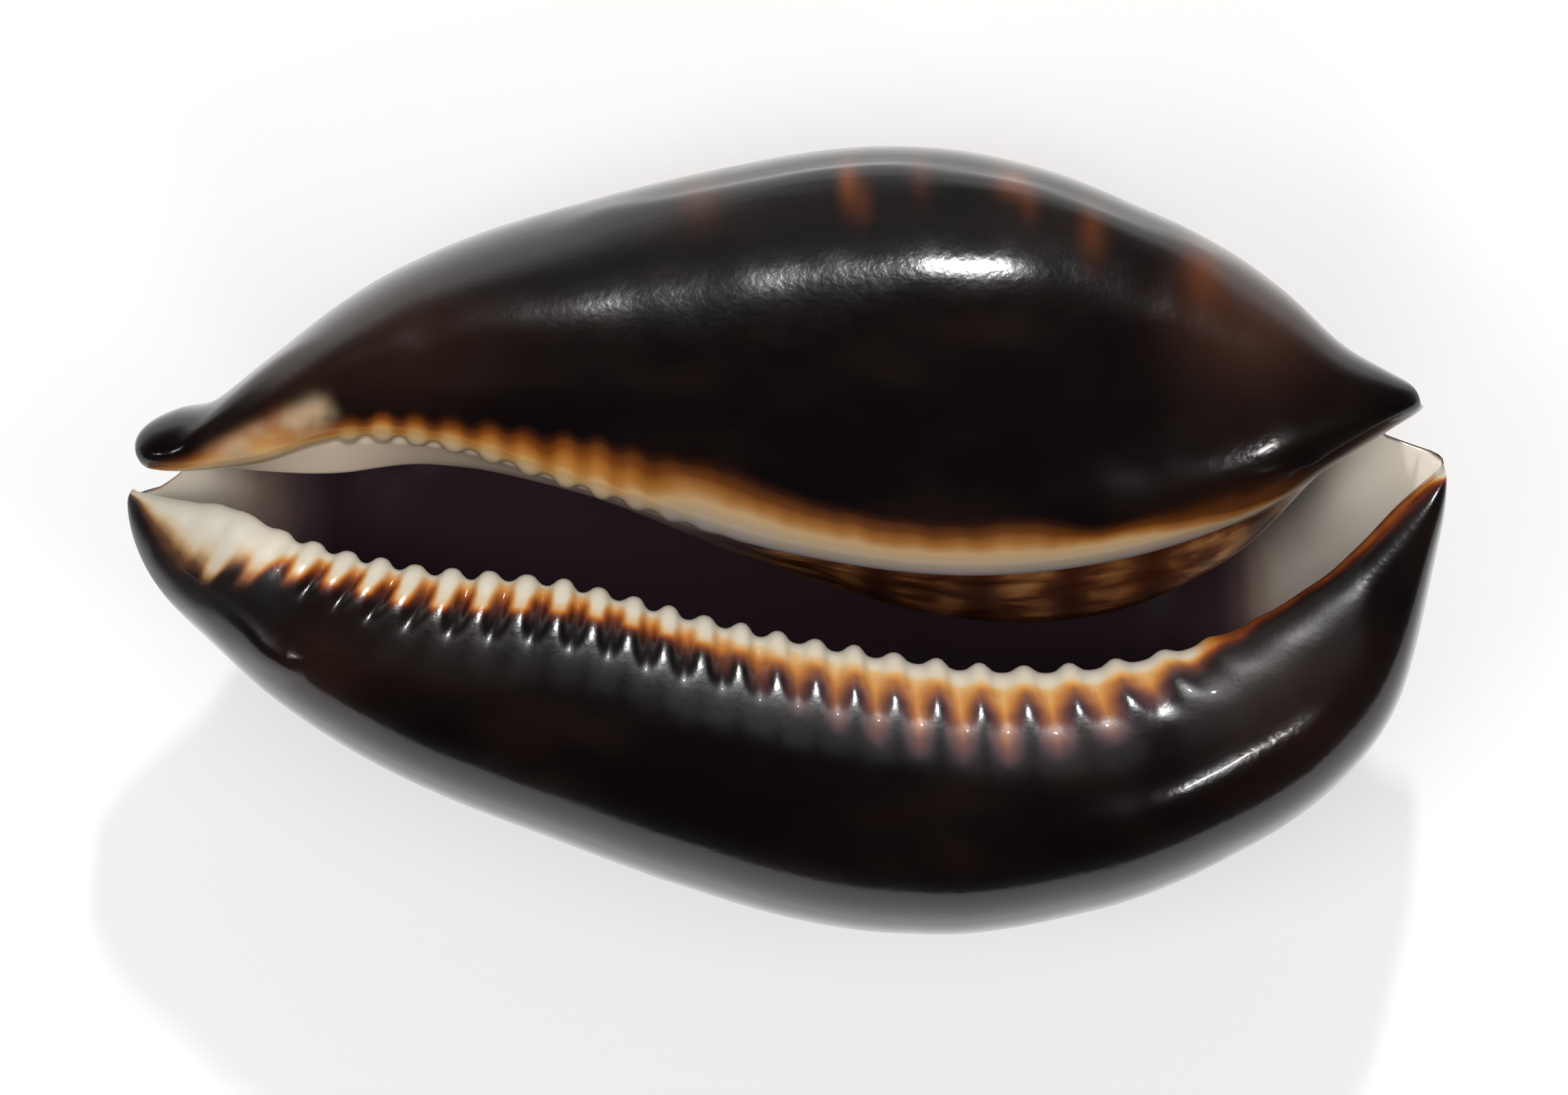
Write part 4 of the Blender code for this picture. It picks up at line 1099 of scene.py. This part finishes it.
def glaze():
    """The shell's one finish."""
    material = bpy.data.materials.new("glazed_shell")
    material.use_nodes = True
    tree = material.node_tree
    finish = tree.nodes["Principled BSDF"]
    sheet = add_node(tree, "ShaderNodeAttribute", {"attribute_name": "place_mm"}).outputs["Vector"]
    smear = noise(tree, sheet, 0.35, 5.0, Roughness=0.6)
    polish = ranged(tree, smear, 0.35, 0.75, GLOSS_ROUGHNESS, GLOSS_ROUGHNESS + SMEARS)
    gaps = arithmetic(tree, "MULTIPLY", number(tree, "matt_gaps"),
                      ranged(tree, off_the_teeth(tree), 0.0, 0.3, MATT_ON_TEETH, 1.0))
    matt = arithmetic(tree, "MAXIMUM", gaps, number(tree, "matt"))
    grain = noise(tree, sheet, 2.2, 4.0)
    bump = add_node(tree, "ShaderNodeBump", Strength=0.06, Distance=GRAIN_DEPTH, Height=grain)
    for name, output in (("Base Color", mouth_colour(tree, sheet, body_colour(tree, sheet))),
                         ("Roughness", arithmetic(tree, "MULTIPLY_ADD", matt, MATT_ROUGHNESS, polish)),
                         ("Coat Weight", arithmetic(tree, "MULTIPLY_ADD", matt, -COAT_WEIGHT, COAT_WEIGHT)),
                         ("Normal", bump.outputs["Normal"])):
        tree.links.new(output, finish.inputs[name])
    finish.inputs["IOR"].default_value = 1.5
    finish.inputs["Coat Roughness"].default_value = COAT_ROUGHNESS
    return material


shell.data.materials.append(glaze())
print("the finish has", len(shell.data.materials[0].node_tree.nodes), "nodes")

# %% [markdown]
# ## Floor
#
# The shell lies on a plain pale floor. A floor lit only by the lamps would turn grey in the
# shell's shadow, so part of its white is its own light for the camera and for reflections. That
# keeps the shadow soft and pale, and the shell's own colours get no extra light from it.

# %% Floor
FLOOR_SIZE = 8.0
FLOOR_WHITE = 0.93
FLOOR_OWN_LIGHT = 0.45


def floor_material():
    """A matt white floor that keeps a pale shadow."""
    material = bpy.data.materials.new("pale_floor")
    material.use_nodes = True
    tree = material.node_tree
    tree.nodes.remove(tree.nodes["Principled BSDF"])
    matt = add_node(tree, "ShaderNodeBsdfDiffuse", Color=linear(FLOOR_WHITE))
    own = add_node(tree, "ShaderNodeEmission", Color=linear(1.0), Strength=1.0)
    path = tree.nodes.new("ShaderNodeLightPath").outputs
    seen = arithmetic(tree, "MAXIMUM", path["Is Camera Ray"], path["Is Glossy Ray"])
    seen = arithmetic(tree, "MAXIMUM", seen, path["Is Transmission Ray"])
    share = arithmetic(tree, "MULTIPLY", seen, FLOOR_OWN_LIGHT)
    mix = add_node(tree, "ShaderNodeMixShader", i0=share, i1=matt.outputs[0], i2=own.outputs[0])
    tree.links.new(mix.outputs[0], tree.nodes["Material Output"].inputs["Surface"])
    return material


half = FLOOR_SIZE / 2
floor_data = bpy.data.meshes.new("floor")
corners = [(-half, -half, 0), (half, -half, 0), (half, half, 0), (-half, half, 0)]
floor_data.from_pydata(corners, [], [(0, 1, 2, 3)])
floor_data.materials.append(floor_material())
floor = placed("floor", floor_data)
floor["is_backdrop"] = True
print("the floor is", FLOOR_SIZE, "m across")

# %% [markdown]
# ## Sky and lamps
#
# The sky is pale at the horizon and dark overhead, as it is in a studio, so what faces straight up
# stays black. A gloss this deep shows every lamp, so only four lamps are seen in it: a small key
# lamp above the inner lip's side, a wide dim halo round it, and two that put a glint on the outer
# lip near its two ends. The others are broad and hidden from the gloss. They only light the
# colours, and two of them lean in so that they reach the inside of the canals.

# %% Sky and lamps
SKY_STOPS = ((0.0, 0.85), (0.5, 0.85), (0.62, 0.30), (0.78, 0.05), (1.0, 0.02))    # 0 is down, 1 up
LAMPS = (    # name, direction as (x, y, z), distance m, width m, height m, watts, colour, shows in gloss
    ("key", (0.053, 0.57, 0.82), 1.6, 0.045, 0.08, 10.0, (1.0, 0.99, 0.97), True),
    ("side_strip", (0.36, -0.26, 0.90), 1.6, 0.12, 0.03, 1.2, (1.0, 0.99, 0.97), True),
    ("window_fill", (-0.08, 0.49, 0.87), 1.8, 0.8, 0.8, 2.0, (0.95, 0.98, 1.0), False),
    ("overhead_fill", (0.0, 0.02, 1.0), 2.2, 0.6, 0.6, 7.5, (1.0, 0.99, 0.98), False),
    ("mouth_fill", (0.0, -0.60, 0.80), 1.8, 0.5, 0.5, 5.5, (1.0, 0.99, 0.98), False),
    ("front_glint", (-0.70, -0.45, 0.55), 1.6, 0.08, 0.08, 0.5, (1.0, 0.99, 0.97), True),
    ("halo", (0.08, 0.57, 0.82), 1.62, 0.40, 0.24, 0.5, (0.80, 0.91, 1.0), True),
    ("left_fill", (-0.30, -0.10, 0.95), 1.8, 0.5, 0.5, 8.5, (1.0, 0.99, 0.98), False),
    ("right_fill", (0.30, -0.05, 0.95), 1.8, 0.5, 0.5, 5.0, (1.0, 0.99, 0.98), False),
)
GLOW = 0.25               # how bright the soft glow is that stands above the inner lip's side
DARK_SIDE = 0.15          # how bright the horizon is on the outer lip's side, beside the other


def studio_sky():
    """Pale round the horizon, dark overhead, with one soft glow above the inner lip's side."""
    world = bpy.data.worlds.new("studio")
    world.use_nodes = True
    tree = world.node_tree
    way = add_node(tree, "ShaderNodeTexCoord").outputs["Generated"]
    x, y, z = add_node(tree, "ShaderNodeSeparateXYZ", Vector=way).outputs
    sky = ramp(tree, arithmetic(tree, "MULTIPLY_ADD", z, 0.5, 0.5), SKY_STOPS)
    horizon = arithmetic(tree, "MULTIPLY", sky, ranged(tree, y, -0.5, 0.4, DARK_SIDE, 1.0))
    across = ranged(tree, arithmetic(tree, "ABSOLUTE", x), 0.55, 0.05)
    upward = arithmetic(tree, "MULTIPLY", ranged(tree, y, 0.25, 0.6), ranged(tree, z, 0.3, 0.7))
    glow = arithmetic(tree, "MULTIPLY", arithmetic(tree, "MULTIPLY", across, upward), GLOW)
    background = tree.nodes["Background"].inputs
    tree.links.new(arithmetic(tree, "ADD", horizon, glow), background["Strength"])
    background["Color"].default_value = linear(1.0)
    return world


def add_lamp(name, way, distance, width, height, watts, colour, in_gloss):
    """A soft rectangular lamp that faces the shell."""
    light = bpy.data.lights.new(name, "AREA")
    light.shape, light.size, light.size_y = "RECTANGLE", width, height
    light.energy, light.color = watts, colour
    lamp = placed(name, light)
    way = Vector(way).normalized()
    lamp.location = way * distance
    lamp.rotation_euler = way.to_track_quat("Z", "Y").to_euler()
    lamp.visible_glossy = in_gloss


bpy.context.scene.world = studio_sky()
for row in LAMPS:
    add_lamp(*row)
print("lamps:", ", ".join(row[0] for row in LAMPS))

# %% [markdown]
# ## Camera
#
# The camera looks straight down on the mouth from 1.5 m with a long lens. Close up with a short
# lens, the teeth would look larger than the hump below them; from afar near and far parts keep
# their true sizes beside each other.

# %% Camera
CAMERA_DISTANCE = 1.5      # above the base
FIELD_WIDTH = 0.0971       # how much of the base's plane the frame takes in
CAMERA_X, CAMERA_Y = -0.17 * MM, -0.45 * MM     # a little beside the middle of the box

camera_data = bpy.data.cameras.new("camera")
camera_data.sensor_width = 36.0
camera_data.lens = camera_data.sensor_width * CAMERA_DISTANCE / FIELD_WIDTH
camera = placed("camera", camera_data)
camera.location = (CAMERA_X, CAMERA_Y, CAD_BOX[1][2] + CAMERA_DISTANCE)
bpy.context.scene.camera = camera
bpy.context.scene.view_settings.view_transform = "Standard"
print("lens", round(camera_data.lens), "mm")

# %% [markdown]
# ## Sizes and the end
#
# The visible shell has to stay inside the solid model's box, and both boxes are printed at the end.

# %% Sizes and finish
VISIBLE_BOX = [list(corner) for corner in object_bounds()]
for label, box in (("solid", CAD_BOX), ("visible", VISIBLE_BOX)):
    print(label, [[round(v / MM, 2) for v in corner] for corner in box])
